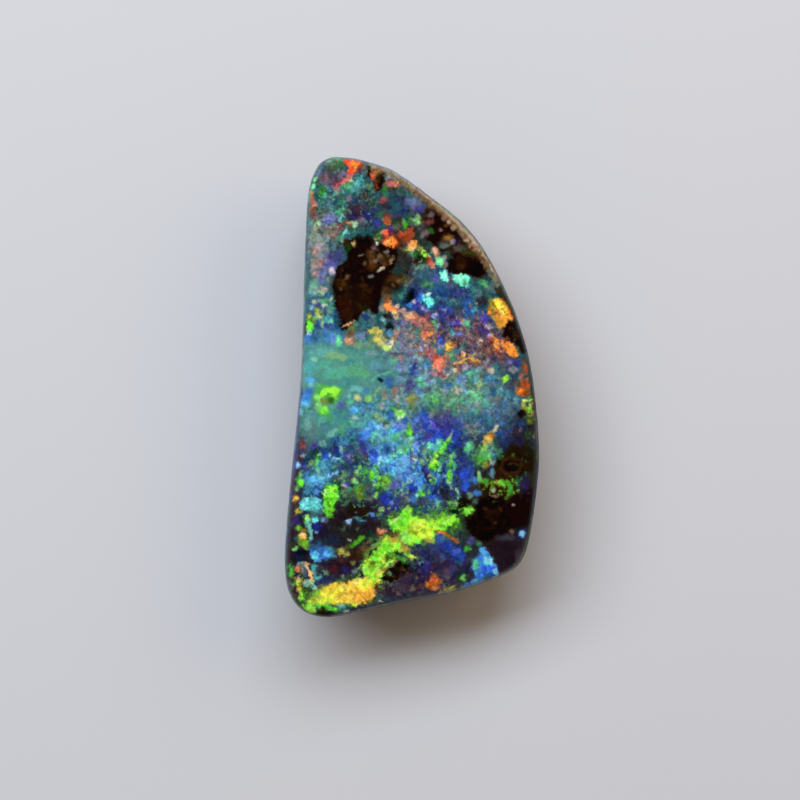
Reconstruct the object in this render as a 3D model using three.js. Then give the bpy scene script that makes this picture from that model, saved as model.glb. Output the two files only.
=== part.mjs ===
// Polished freeform boulder opal: one sail-shaped stone cut and polished as a low dome.
// Millimetres, +Z up. The origin is the centre of the bounding box's underside, on the ground back.
// +Y runs along the stone, towards its narrow rounded tip, and +X runs towards its long bowed edge.
// The stone is one natural piece, so it is one closed solid.

import * as THREE from 'three';

// Overall size
const LENGTH = 17.0;          // along Y, tip to heel
const WIDTH = 9.4;            // along X, straight edge to bowed edge
const THICKNESS = 3.9;        // base to the top of the dome

// Section
const GIRDLE_Z = 2.72;        // height of the widest line round the stone
const GIRDLE_WAVE = 0.13;     // how much that line wanders up and down
const FACE_EDGE_Z = 3.42;     // where the polished face turns over into its rim
const RIM_INSET = 0.27;       // how far the rim's curve reaches in from the outline
const FLAT_OF_GIRDLE = 0.22;  // share of the side that drops almost plumb below the girdle
const UNDERCUT = 0.62;        // how far the base is drawn in under the girdle, on average
const UNDERCUT_HEEL = 0.34;   // extra at the heel, the end at -Y
const BASE_ROUND = 0.14;      // small worn chamfer where the side meets the ground back
const APEX = [-0.15, -0.9];   // crown of the dome

// Mesh
const AROUND = 112;           // samples round the outline

// The outline at the girdle, seen from above, clockwise from the narrow tip.
const OUTLINE = [
  [-2.99, 8.5], [-2.55, 8.51], [-2.07, 8.46], [-1.62, 8.35], [-1.18, 8.22], [-0.73, 8.05], [-0.29, 7.78], [0.16, 7.46],
  [0.6, 7.12], [1.04, 6.79], [1.49, 6.44], [1.86, 6.11], [2.19, 5.74], [2.53, 5.31], [2.84, 4.81], [3.1, 4.35],
  [3.34, 3.87], [3.56, 3.39], [3.79, 2.87], [3.97, 2.35], [4.14, 1.83], [4.28, 1.31], [4.39, 0.79], [4.48, 0.24],
  [4.55, -0.32], [4.61, -0.87], [4.66, -1.43], [4.69, -2.02], [4.7, -2.61], [4.67, -3.21], [4.61, -3.8], [4.54, -4.39],
  [4.46, -4.95], [4.36, -5.5], [4.23, -6.02], [4.03, -6.45], [3.72, -6.78], [3.27, -7.02], [2.71, -7.24], [2.08, -7.45],
  [1.41, -7.63], [0.71, -7.79], [-0.03, -7.92], [-0.77, -8.06], [-1.47, -8.21], [-2.07, -8.35], [-2.62, -8.46], [-3.1, -8.51],
  [-3.53, -8.47], [-3.9, -8.34], [-4.21, -8.11], [-4.44, -7.8], [-4.59, -7.43], [-4.67, -6.99], [-4.7, -6.47], [-4.69, -5.95],
  [-4.65, -5.36], [-4.61, -4.8], [-4.56, -4.21], [-4.51, -3.65], [-4.45, -3.06], [-4.39, -2.47], [-4.33, -1.87], [-4.27, -1.28],
  [-4.21, -0.69], [-4.16, -0.13], [-4.11, 0.5], [-4.08, 1.13], [-4.06, 1.79], [-4.03, 2.46], [-4.01, 3.13], [-4.0, 3.79],
  [-3.97, 4.46], [-3.95, 5.13], [-3.92, 5.79], [-3.89, 6.46], [-3.84, 7.05], [-3.75, 7.53], [-3.61, 7.92], [-3.4, 8.27],
];

// Smooth closed curve through the outline, sampled evenly and set to the exact length and width.
function outline() {
  const curve = new THREE.CatmullRomCurve3(
    OUTLINE.map(([x, y]) => new THREE.Vector3(x, y, 0)), true, 'centripetal');
  curve.arcLengthDivisions = 2000;
  const points = curve.getSpacedPoints(AROUND).slice(0, AROUND).reverse();  // counter-clockwise
  const box = new THREE.Box3().setFromPoints(points);
  const size = box.getSize(new THREE.Vector3());
  const mid = box.getCenter(new THREE.Vector3());
  return points.map((p) => new THREE.Vector2(
    (p.x - mid.x) * WIDTH / size.x, (p.y - mid.y) * LENGTH / size.y));
}

// Outward normals of the closed outline.
function normals(points) {
  const n = points.length;
  return points.map((_, i) => {
    const a = points[(i + n - 1) % n], b = points[(i + 1) % n];
    return new THREE.Vector2(b.y - a.y, a.x - b.x).normalize();
  });
}

// Height of the girdle and depth of the undercut change slowly round the stone.
const girdleZ = (x, y) => GIRDLE_Z + GIRDLE_WAVE * Math.sin(0.42 * y + 0.5 * x + 0.6);
const undercut = (x, y) => UNDERCUT + 0.1 * Math.sin(0.9 * y + 0.7 * x)
  + UNDERCUT_HEEL * THREE.MathUtils.smoothstep(-y, 5.5, 8.2);

// Height of the polished face: a low dome about the apex, edge at share 1.
const faceZ = (share) => FACE_EDGE_Z + (THICKNESS - FACE_EDGE_Z) * (1 - Math.pow(share, 2.1));

function stoneGeometry() {
  const rim = outline();
  const out = normals(rim);
  const positions = [];
  const rings = [];
  const addRing = (place) => {
    rings.push(rim.map((p, i) => {
      const [x, y, z] = place(p, out[i]);
      positions.push(x, y, z);
      return positions.length / 3 - 1;
    }));
  };

  // Dome, from the crown outwards
  positions.push(APEX[0], APEX[1], THICKNESS);
  const crown = 0;
  for (const share of [0.14, 0.3, 0.46, 0.62, 0.77, 0.9, 1]) {
    addRing((p, n) => {
      const ex = p.x - n.x * RIM_INSET, ey = p.y - n.y * RIM_INSET;
      return [APEX[0] + (ex - APEX[0]) * share, APEX[1] + (ey - APEX[1]) * share, faceZ(share)];
    });
  }
  // Rounded rim down to the girdle
  for (const turn of [0.25, 0.5, 0.75, 1]) {
    const a = turn * Math.PI / 2;
    addRing((p, n) => {
      const inset = RIM_INSET * (1 - Math.sin(a));
      const g = girdleZ(p.x, p.y);
      return [p.x - n.x * inset, p.y - n.y * inset, g + (FACE_EDGE_Z - g) * Math.cos(a)];
    });
  }
  // Side: almost plumb under the girdle, then drawn in towards the base
  for (const drop of [FLAT_OF_GIRDLE, 0.45, 0.68, 0.86, 1]) {
    addRing((p, n) => {
      const g = girdleZ(p.x, p.y);
      const u = undercut(p.x, p.y);
      const inset = 0.03 * u * drop + 0.97 * u * Math.pow(Math.max(0, (drop - 0.12) / 0.88), 1.35);
      return [p.x - n.x * inset, p.y - n.y * inset, g + (BASE_ROUND - g) * drop];
    });
  }
  // Worn chamfer and the flat ground back
  addRing((p, n) => {
    const inset = undercut(p.x, p.y) + BASE_ROUND;
    return [p.x - n.x * inset, p.y - n.y * inset, 0];
  });
  positions.push(APEX[0], APEX[1], 0);
  const foot = positions.length / 3 - 1;

  const index = [];
  const first = rings[0], last = rings[rings.length - 1];
  for (let i = 0; i < AROUND; i++) {
    const j = (i + 1) % AROUND;
    index.push(crown, first[i], first[j]);
    for (let r = 0; r + 1 < rings.length; r++) {
      const a = rings[r], b = rings[r + 1];
      index.push(a[i], b[i], b[j], a[i], b[j], a[j]);
    }
    index.push(foot, last[j], last[i]);
  }

  const geometry = new THREE.BufferGeometry();
  geometry.setAttribute('position', new THREE.Float32BufferAttribute(positions, 3));
  geometry.setIndex(index);
  geometry.computeVertexNormals();
  return geometry;
}

const stone = new THREE.Mesh(
  stoneGeometry(),
  new THREE.MeshStandardMaterial({ color: 0x1f5a6e, roughness: 0.12, metalness: 0 }));
stone.name = 'boulder_opal';

const boulderOpal = new THREE.Group();
boulderOpal.name = 'boulder_opal_cabochon';
boulderOpal.add(stone);

export default boulderOpal;
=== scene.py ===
# Polished freeform boulder opal, visual model. Metres, +Z up, +Y towards the stone's narrow tip.
import math
import bpy
import numpy as np
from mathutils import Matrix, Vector
from mathutils.geometry import delaunay_2d_cdt


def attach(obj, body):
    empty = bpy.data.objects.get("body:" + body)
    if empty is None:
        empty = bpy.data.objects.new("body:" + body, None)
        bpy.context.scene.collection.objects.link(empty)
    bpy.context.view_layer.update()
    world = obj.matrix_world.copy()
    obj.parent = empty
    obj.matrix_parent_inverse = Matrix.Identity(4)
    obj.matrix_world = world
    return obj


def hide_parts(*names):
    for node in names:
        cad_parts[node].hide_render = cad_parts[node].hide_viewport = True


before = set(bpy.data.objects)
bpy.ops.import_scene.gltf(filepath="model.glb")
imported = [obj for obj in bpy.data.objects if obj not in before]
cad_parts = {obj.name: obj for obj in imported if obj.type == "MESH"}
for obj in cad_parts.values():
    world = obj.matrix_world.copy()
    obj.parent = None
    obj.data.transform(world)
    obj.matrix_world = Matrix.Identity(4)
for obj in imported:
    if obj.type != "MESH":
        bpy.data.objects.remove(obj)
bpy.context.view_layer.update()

MM = 0.001
# Places on the stone are given in the units of its 800 x 800 picture: 27 units to the millimetre.
PX = 27.0
PX_X, PX_Y = 411.8, 386.4

# ================================================================ the stone's own measures, in mm, as in the solid
LENGTH, WIDTH, THICKNESS = 17.0, 9.4, 3.9
GIRDLE_Z, GIRDLE_WAVE, FACE_EDGE_Z, RIM_INSET = 2.72, 0.13, 3.42, 0.27
UNDERCUT, UNDERCUT_HEEL, BASE_ROUND = 0.62, 0.34, 0.14
APEX = (-0.15, -0.9)
AROUND = 896
SPACING = 0.0455
OUTLINE = [
  (-2.99, 8.5), (-2.55, 8.51), (-2.07, 8.46), (-1.62, 8.35), (-1.18, 8.22), (-0.73, 8.05), (-0.29, 7.78), (0.16, 7.46),
  (0.6, 7.12), (1.04, 6.79), (1.49, 6.44), (1.86, 6.11), (2.19, 5.74), (2.53, 5.31), (2.84, 4.81), (3.1, 4.35),
  (3.34, 3.87), (3.56, 3.39), (3.79, 2.87), (3.97, 2.35), (4.14, 1.83), (4.28, 1.31), (4.39, 0.79), (4.48, 0.24),
  (4.55, -0.32), (4.61, -0.87), (4.66, -1.43), (4.69, -2.02), (4.7, -2.61), (4.67, -3.21), (4.61, -3.8), (4.54, -4.39),
  (4.46, -4.95), (4.36, -5.5), (4.23, -6.02), (4.03, -6.45), (3.72, -6.78), (3.27, -7.02), (2.71, -7.24), (2.08, -7.45),
  (1.41, -7.63), (0.71, -7.79), (-0.03, -7.92), (-0.77, -8.06), (-1.47, -8.21), (-2.07, -8.35), (-2.62, -8.46), (-3.1, -8.51),
  (-3.53, -8.47), (-3.9, -8.34), (-4.21, -8.11), (-4.44, -7.8), (-4.59, -7.43), (-4.67, -6.99), (-4.7, -6.47), (-4.69, -5.95),
  (-4.65, -5.36), (-4.61, -4.8), (-4.56, -4.21), (-4.51, -3.65), (-4.45, -3.06), (-4.39, -2.47), (-4.33, -1.87), (-4.27, -1.28),
  (-4.21, -0.69), (-4.16, -0.13), (-4.11, 0.5), (-4.08, 1.13), (-4.06, 1.79), (-4.03, 2.46), (-4.01, 3.13), (-4.0, 3.79),
  (-3.97, 4.46), (-3.95, 5.13), (-3.92, 5.79), (-3.89, 6.46), (-3.84, 7.05), (-3.75, 7.53), (-3.61, 7.92), (-3.4, 8.27),
]


# ---------------------------------------------------------------- noise
def _hash(ix, iy, k):
    h = (ix.astype(np.int64) * 374761393 + iy.astype(np.int64) * 668265263 + int(k) * 1442695041) & 0xFFFFFFFF
    h = ((h ^ (h >> 13)) * 1274126177) & 0xFFFFFFFF
    h = ((h ^ (h >> 16)) * 2246822519) & 0xFFFFFFFF
    h = (h ^ (h >> 15)) & 0xFFFFFF
    return h / 16777216.0

def value_noise(x, y, size, k):
    """Smooth noise from 0 to 1, one lump per size units."""
    u, v = x / size, y / size
    iu, iv = np.floor(u), np.floor(v)
    fu, fv = u - iu, v - iv
    fu = fu * fu * fu * (fu * (fu * 6 - 15) + 10)
    fv = fv * fv * fv * (fv * (fv * 6 - 15) + 10)
    a, b = _hash(iu, iv, k), _hash(iu + 1, iv, k)
    c, d = _hash(iu, iv + 1, k), _hash(iu + 1, iv + 1, k)
    return (a * (1 - fu) + b * fu) * (1 - fv) + (c * (1 - fu) + d * fu) * fv

def fractal(x, y, size, k, octaves=3):
    total, weight = 0.0, 0.0
    for o in range(octaves):
        w = 0.55 ** o
        total = total + w * value_noise(x + 17.3 * o, y - 9.1 * o, size / 2 ** o, k + 31 * o)
        weight += w
    return total / weight

def cells(x, y, size, k):
    """Nearest and second nearest scattered centre: a cell's own number and how far inside it a point lies."""
    u, v = x / size, y / size
    iu, iv = np.floor(u), np.floor(v)
    d1 = np.full(x.shape, 9.0)
    d2 = np.full(x.shape, 9.0)
    name = np.zeros(x.shape)
    for dx in (-1, 0, 1):
        for dy in (-1, 0, 1):
            cu, cv = iu + dx, iv + dy
            px = cu + 0.1 + 0.8 * _hash(cu, cv, k)
            py = cv + 0.1 + 0.8 * _hash(cu, cv, k + 1)
            d = np.hypot(px - u, py - v)
            nearer = d < d1
            d2 = np.where(nearer, d1, np.minimum(d2, d))
            name = np.where(nearer, _hash(cu, cv, k + 2), name)
            d1 = np.where(nearer, d, d1)
    return name, (d2 - d1) * size

def smooth(a, b, t):
    t = np.clip((t - a) / (b - a), 0.0, 1.0)
    return t * t * (3 - 2 * t)

# ---------------------------------------------------------------- shapes
def poly_distance(x, y, pts):
    """Signed distance to a closed polygon, positive inside."""
    inside = np.zeros(x.shape, bool)
    best = np.full(x.shape, 1e9)
    n = len(pts)
    for i in range(n):
        x0, y0 = pts[i]
        x1, y1 = pts[(i + 1) % n]
        ex, ey = x1 - x0, y1 - y0
        t = np.clip(((x - x0) * ex + (y - y0) * ey) / (ex * ex + ey * ey + 1e-12), 0, 1)
        best = np.minimum(best, np.hypot(x - x0 - t * ex, y - y0 - t * ey))
        cross = ((y0 > y) != (y1 > y)) & (x < (x1 - x0) * (y - y0) / ((y1 - y0) if y1 != y0 else 1e-12) + x0)
        inside ^= cross
    return np.where(inside, best, -best)

def line_distance(x, y, pts):
    best = np.full(x.shape, 1e9)
    for (x0, y0), (x1, y1) in zip(pts[:-1], pts[1:]):
        ex, ey = x1 - x0, y1 - y0
        t = np.clip(((x - x0) * ex + (y - y0) * ey) / (ex * ex + ey * ey + 1e-12), 0, 1)
        best = np.minimum(best, np.hypot(x - x0 - t * ex, y - y0 - t * ey))
    return best

# ---------------------------------------------------------------- colours
PALETTE = {}
def set_palette(text):
    for line in text.split('\n'):
        w = line.split()
        if len(w) >= 4:
            PALETTE[w[0]] = tuple(int(v) for v in w[1:4])

def colour(name):
    base = name.rstrip('+-')
    r = np.array(PALETTE[base], float) / 255
    for c in name[len(base):]:
        r = r * 0.72 if c == '-' else r + (1 - r) * 0.28
    return r

# cx cy rx ry and how much grain is left there
CALM = [(342, 372, 56, 34, 0.45), (326, 425, 26, 20, 0.6), (500, 311, 13, 17, 0.5), (362, 280, 34, 44, 0.5),
        (445, 228, 26, 30, 0.6), (505, 505, 40, 60, 0.6)]

# ---------------------------------------------------------------- painting
class Sheet:
    """Colour (display values, 0 to 1) and masks at a set of points, painted mark by mark."""
    def __init__(self, x, y, ground):
        self.x, self.y = x, y
        self.rgb = np.zeros(x.shape + (3,)) + colour(ground)
        self.iron = np.zeros(x.shape)
        # Opal fire is made of small grains: every grain looks a little to one side, so marks have crumbled edges.
        rough = self.rough = self.roughness()
        a, _ = cells(x, y, 2.7, 41)
        b, _ = cells(x, y, 1.5, 43)
        jx = 1.5 * (_hash(np.floor(a * 4096), np.zeros_like(a), 3) - 0.5) + 0.5 * (_hash(np.floor(b * 4096), np.zeros_like(b), 4) - 0.5)
        jy = 1.5 * (_hash(np.floor(a * 4096), np.zeros_like(a), 5) - 0.5) + 0.5 * (_hash(np.floor(b * 4096), np.zeros_like(b), 6) - 0.5)
        hx = 2.2 * (value_noise(x, y, 2.3, 51) - 0.5) + 1.5 * (value_noise(x, y, 1.3, 52) - 0.5)
        hy = 2.2 * (value_noise(x, y, 2.3, 53) - 0.5) + 1.5 * (value_noise(x, y, 1.3, 54) - 0.5)
        calm = 0.4 + 0.6 * rough
        self.wx = x + 4.6 * (fractal(x, y, 7.0, 11) - 0.5) * calm + rough * (0.75 * jx + 1.1 * hx)
        self.wy = y + 4.6 * (fractal(x, y, 7.0, 21) - 0.5) * calm + rough * (0.75 * jy + 1.1 * hy)
        self.sx = x + 3.2 * (fractal(x, y, 4.0, 13) - 0.5) * calm + rough * (0.5 * jx + 0.95 * hx)
        self.sy = y + 3.2 * (fractal(x, y, 4.0, 23) - 0.5) * calm + rough * (0.5 * jy + 0.95 * hy)

    def roughness(self):
        """How grainy the fire is: less so in the milky field, on the gold patch and on ironstone."""
        r = np.ones(self.x.shape)
        for cx, cy, rx, ry, v in CALM:
            q = np.hypot((self.x - cx) / rx, (self.y - cy) / ry)
            r = r * (1 - (1 - v) * (1 - smooth(0.7, 1.2, q)))
        return r

    def near(self, x0, y0, x1, y1):
        return np.nonzero((self.x > x0) & (self.x < x1) & (self.y > y0) & (self.y < y1))

    def lay(self, idx, cover, col, alpha, iron=None):
        a = (cover * alpha)[..., None]
        self.rgb[idx] = self.rgb[idx] * (1 - a) + col * a
        if iron is not None:
            self.iron[idx] = self.iron[idx] * (1 - a[..., 0]) + iron * a[..., 0]

    def blob(self, col, cx, cy, rx, ry, angle=0.0, alpha=0.9, soft=0.5, iron=0.0):
        # A small mark's edges wander less than a large one's.
        small = min(rx, ry) < 3.2
        reach = max(rx, ry) * (1 + soft) + 3
        idx = self.near(cx - reach, cy - reach, cx + reach, cy + reach)
        px = (self.sx if small else self.wx)[idx] - cx
        py = (self.sy if small else self.wy)[idx] - cy
        c, s = np.cos(np.radians(angle)), np.sin(np.radians(angle))
        grow = 1.0 + 0.45 / max(min(rx, ry), 1.0)
        q = np.hypot((px * c + py * s) / (rx * grow), (-px * s + py * c) / (ry * grow))
        cover = 1 - smooth(1 - soft, 1 + soft, q)
        self.lay(idx, cover, colour(col), alpha, iron)

    def poly(self, col, soft, alpha, pts, iron=0.0):
        xs, ys = [p[0] for p in pts], [p[1] for p in pts]
        r = soft + 3
        idx = self.near(min(xs) - r, min(ys) - r, max(xs) + r, max(ys) + r)
        d = poly_distance(self.wx[idx], self.wy[idx], pts)
        self.lay(idx, smooth(-soft, soft, d), colour(col), alpha, iron)

    def line(self, col, width, soft, alpha, pts, iron=0.0):
        xs, ys = [p[0] for p in pts], [p[1] for p in pts]
        r = soft + width + 3
        idx = self.near(min(xs) - r, min(ys) - r, max(xs) + r, max(ys) + r)
        d = line_distance(self.sx[idx], self.sy[idx], pts)
        self.lay(idx, 1 - smooth(max(0.0, width - soft), width + soft, d), colour(col), alpha, iron)

    def flecks(self, cols, cx, cy, rx, ry, size, share, alpha, angle=0.0, stretch=1.0, seed=0, iron=0.0):
        """Scattered mosaic of small cells in an ellipse; share of the cells take a colour from the list."""
        reach = max(rx, ry) * 1.35 + 3
        idx = self.near(cx - reach, cy - reach, cx + reach, cy + reach)
        px, py = self.wx[idx], self.wy[idx]
        q = np.hypot((px - cx) / rx, (py - cy) / ry)
        zone = 1 - smooth(0.75, 1.2, q)
        c, s = np.cos(np.radians(angle)), np.sin(np.radians(angle))
        u, v = (px * c + py * s) / stretch, -px * s + py * c
        name, inside = cells(u, v, size, 100 + seed * 7)
        pick = _hash(np.floor(name * 4096), np.zeros_like(name), 5 + seed)
        cover = zone * (0.8 + 0.2 * smooth(0.0, size * 0.3, inside))
        n = len(cols)
        k = np.clip((name / share * n).astype(int), 0, n - 1)
        on = name < share
        table = np.array([colour(t) for t in cols])
        a = (cover * on * alpha * (0.55 + 0.45 * pick))[..., None]
        self.rgb[idx] = self.rgb[idx] * (1 - a) + table[k] * a
        self.iron[idx] = self.iron[idx] * (1 - a[..., 0]) + iron * a[..., 0]

    def grain(self, size, light, hue, k):
        """Grains of one size, each a little lighter or darker and a little off in hue."""
        a, inside = cells(self.x + 0.6 * self.rough, self.y, size, k)
        f = np.floor(a * 4096)
        z = np.zeros_like(a)
        r = self.rough ** 1.5
        self.rgb *= (1 + light * r * 2 * (_hash(f, z, k + 1) - 0.5))[..., None]
        for c in range(3):
            self.rgb[..., c] *= 1 + hue * r * 2 * (_hash(f, z, k + 2 + c) - 0.5)

    def shade(self, amount, size, k, zone=None):
        """Lighter and darker lumps of one size."""
        n = fractal(self.x, self.y, size, k, 2) - 0.5
        f = 1 + amount * 2 * n
        if zone is not None:
            f = 1 + (f - 1) * zone
        self.rgb *= f[..., None]

    def run(self, text):
        for raw in text.split('\n'):
            w = raw.split()
            if not w or w[0].startswith('#'):
                continue
            kind, col = w[0], w[1]
            iron = 1.0 if kind.isupper() else 0.0
            k = kind.lower()
            if k == 'b':
                v = [float(t) for t in w[2:]]
                cx, cy, rx, ry = v[:4]
                angle = v[4] if len(v) > 4 else 0.0
                alpha = v[5] if len(v) > 5 else 0.9
                soft = v[6] if len(v) > 6 else 0.5
                self.blob(col, cx, cy, rx, ry, angle, alpha, soft, iron)
            elif k == 'p':
                soft, alpha = float(w[2]), float(w[3])
                pts = [tuple(float(t) for t in p.split(',')) for p in w[4:]]
                self.poly(col, soft, alpha, pts, iron)
            elif k == 'l':
                width, soft, alpha = float(w[2]), float(w[3]), float(w[4])
                pts = [tuple(float(t) for t in p.split(',')) for p in w[5:]]
                self.line(col, width, soft, alpha, pts, iron)
            elif k == 'f':
                # f colours cx cy rx ry size share alpha [angle stretch seed]
                cols = col.split(',')
                v = [float(t) for t in w[2:]]
                cx, cy, rx, ry, size, share, alpha = v[:7]
                angle = v[7] if len(v) > 7 else 0.0
                stretch = v[8] if len(v) > 8 else 1.0
                seed = int(v[9]) if len(v) > 9 else int(cx * 3 + cy)
                self.flecks(cols, cx, cy, rx, ry, size, share, alpha, angle, stretch, seed, iron)
            else:
                raise ValueError(raw)

# ================================================================ light and tone
# Display colours are turned into surface colours by dividing their linear values by this.
GAIN = 1.05
# What the gloss and the light add is taken off again.
SHARE = (0.965, 0.95, 0.82)
VEIL = (0.003, 0.003, 0.004)
FLOOR_COLOUR = (0.50, 0.505, 0.515, 1)
WORLD = [(0.0, (0.62, 0.595, 0.565, 1)), (0.12, (0.66, 0.60, 0.53, 1)), (0.24, (0.74, 0.57, 0.43, 1)),
         (0.45, (0.60, 0.45, 0.34, 1)), (0.62, (0.24, 0.19, 0.16, 1)), (0.8, (0.05, 0.045, 0.042, 1)), (1.0, (0.03, 0.03, 0.03, 1))]
WORLD_STRENGTH = 0.9
LIGHTS = [
    ('key', (-0.060, 0.136, 0.175), 0.38, 0.94, (0.915, 1.0, 1.125), 0.11),
    ('fill', (0.141, 0.075, 0.100), 0.13, 0.11, (1.0, 0.74, 0.50), 0.08),
]


# ================================================================ the marks
set_palette("""
blk 12 9 7
ibk 22 12 7
umb 40 24 14
cof 66 42 26
brn 100 66 44
sie 125 80 55
tan 150 125 98
gre 176 164 150
lim 200 192 182
mar 62 18 16
rus 165 75 42
red 208 62 46
cor 232 96 72
ora 248 130 54
org 250 150 60
amb 252 178 70
gol 232 184 72
yel 250 232 76
lem 212 248 72
yol 176 172 80
olv 122 132 62
oli 72 76 40
lgr 150 238 70
grn 104 222 52
gms 74 170 60
dgr 40 98 44
bgr 16 44 22
sag 128 172 120
psg 168 200 158
mnt 120 226 160
min 118 246 208
sea 84 176 136
tgr 52 128 104
dtg 28 78 66
tea 60 130 134
dte 36 78 90
ste 86 140 156
ltl 110 190 190
cyn 108 228 246
pcy 176 238 250
sky 86 168 240
lsk 128 200 250
blu 60 122 220
roy 48 86 220
deb 36 56 178
nav 34 54 116
dnv 20 32 70
ind 50 46 134
div 36 30 84
vio 78 58 178
per 112 112 232
lav 134 134 196
lil 180 160 200
mau 116 92 124
plm 72 46 78
dpl 42 30 44
win 104 40 62
crm 164 36 66
ros 184 96 100
sal 216 128 104
pea 236 182 140
dpk 160 120 118
wht 214 222 220
slt 76 84 108
gry 112 116 116
dgy 62 66 68
grt 92 112 112
""")

# Broad washes
WASHES = """
b dte 345 190 45 34 0 1 0.6
b dte- 375 200 30 22 0 0.9 0.7
b dpl 362 214 20 12 0 0.8 0.7
b nav- 410 205 24 16 20 0.8 0.7
b cof 400 186 26 10 32 0.7 0.7
b cof- 446 216 40 22 48 0.95 0.5
b umb 472 254 26 22 52 0.9 0.5
b cof- 420 236 18 10 10 0.6 0.7
b cof- 404 262 18 22 0 0.7 0.7
b grt 322 238 18 24 0 0.9 0.7
b slt 326 262 14 22 0 0.8 0.7
b ste- 312 292 10 28 0 0.8 0.7
b nav 322 312 18 14 0 0.7 0.7
b blu- 326 336 18 11 0 0.9 0.6
b dte 368 330 22 14 0 0.8 0.7
b dte 402 300 16 14 0 0.8 0.7
b nav 436 296 36 24 20 1 0.6
b tea- 460 296 22 18 0 0.6 0.7
b nav 452 318 34 20 20 0.8 0.7
b slt 412 344 30 20 0 0.9 0.7
b slt- 470 342 34 22 0 0.9 0.7
b plm 488 350 22 20 0 0.7 0.7
b ste 330 372 48 30 0 1 0.5
b sea- 345 372 36 26 0 0.7 0.7
b ste- 400 395 34 30 0 0.8 0.8
b nav+ 420 375 26 26 0 0.8 0.8
b grt 465 395 40 24 0 0.9 0.8
b sea- 468 400 32 18 0 0.75 0.8
b tea 318 425 26 24 0 0.9 0.6
b tea 345 430 34 20 0 0.8 0.7
b ste- 318 432 16 16 0 0.8 0.7
b ind 440 425 30 14 0 0.8 0.8
b nav 500 420 30 24 0 0.7 0.8
b blu- 384 435 26 16 0 0.8 0.8
b nav 360 462 34 24 0 0.9 0.7
b blu- 395 470 40 26 0 0.8 0.8
b nav 450 465 50 34 0 0.9 0.7
b nav- 330 480 40 30 0 0.8 0.8
b ind- 395 500 30 16 0 0.8 0.8
b slt- 430 498 36 16 0 0.7 0.8
b dpl 345 528 50 30 0 1 0.5
b dpl 350 560 44 22 0 0.9 0.6
b div 420 565 50 26 0 0.9 0.7
b dpl 430 580 60 18 0 0.7 0.8
b sky- 402 446 32 20 0 0.7 0.8
b sky 392 458 20 12 0 0.5 0.8
b blu 410 480 22 18 0 0.6 0.8
b roy 425 478 18 16 0 0.5 0.8
b gms 434 456 15 15 0 0.75 0.8
b gms- 386 480 14 10 0 0.7 0.8
b gms- 354 482 14 10 0 0.6 0.8
b tgr- 452 464 10 14 0 0.6 0.8
b deb 464 474 14 16 0 0.8 0.8
b ste 380 410 34 14 0 0.6 0.8
b ste+ 392 428 30 12 0 0.5 0.8
b ltl- 372 392 26 14 0 0.45 0.8
b tea+ 486 412 26 16 0 0.7 0.8
b ste 492 396 18 14 0 0.5 0.8
b blu- 475 420 20 10 0 0.5 0.8
b tea- 442 410 18 10 0 0.4 0.8
b umb 500 500 44 60 0 1 0.6
b dpl 505 550 26 34 0 0.9 0.6
b dpl- 300 560 16 50 0 0.9 0.7
b plm- 294 470 8 60 0 0.7 0.7
"""

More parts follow.
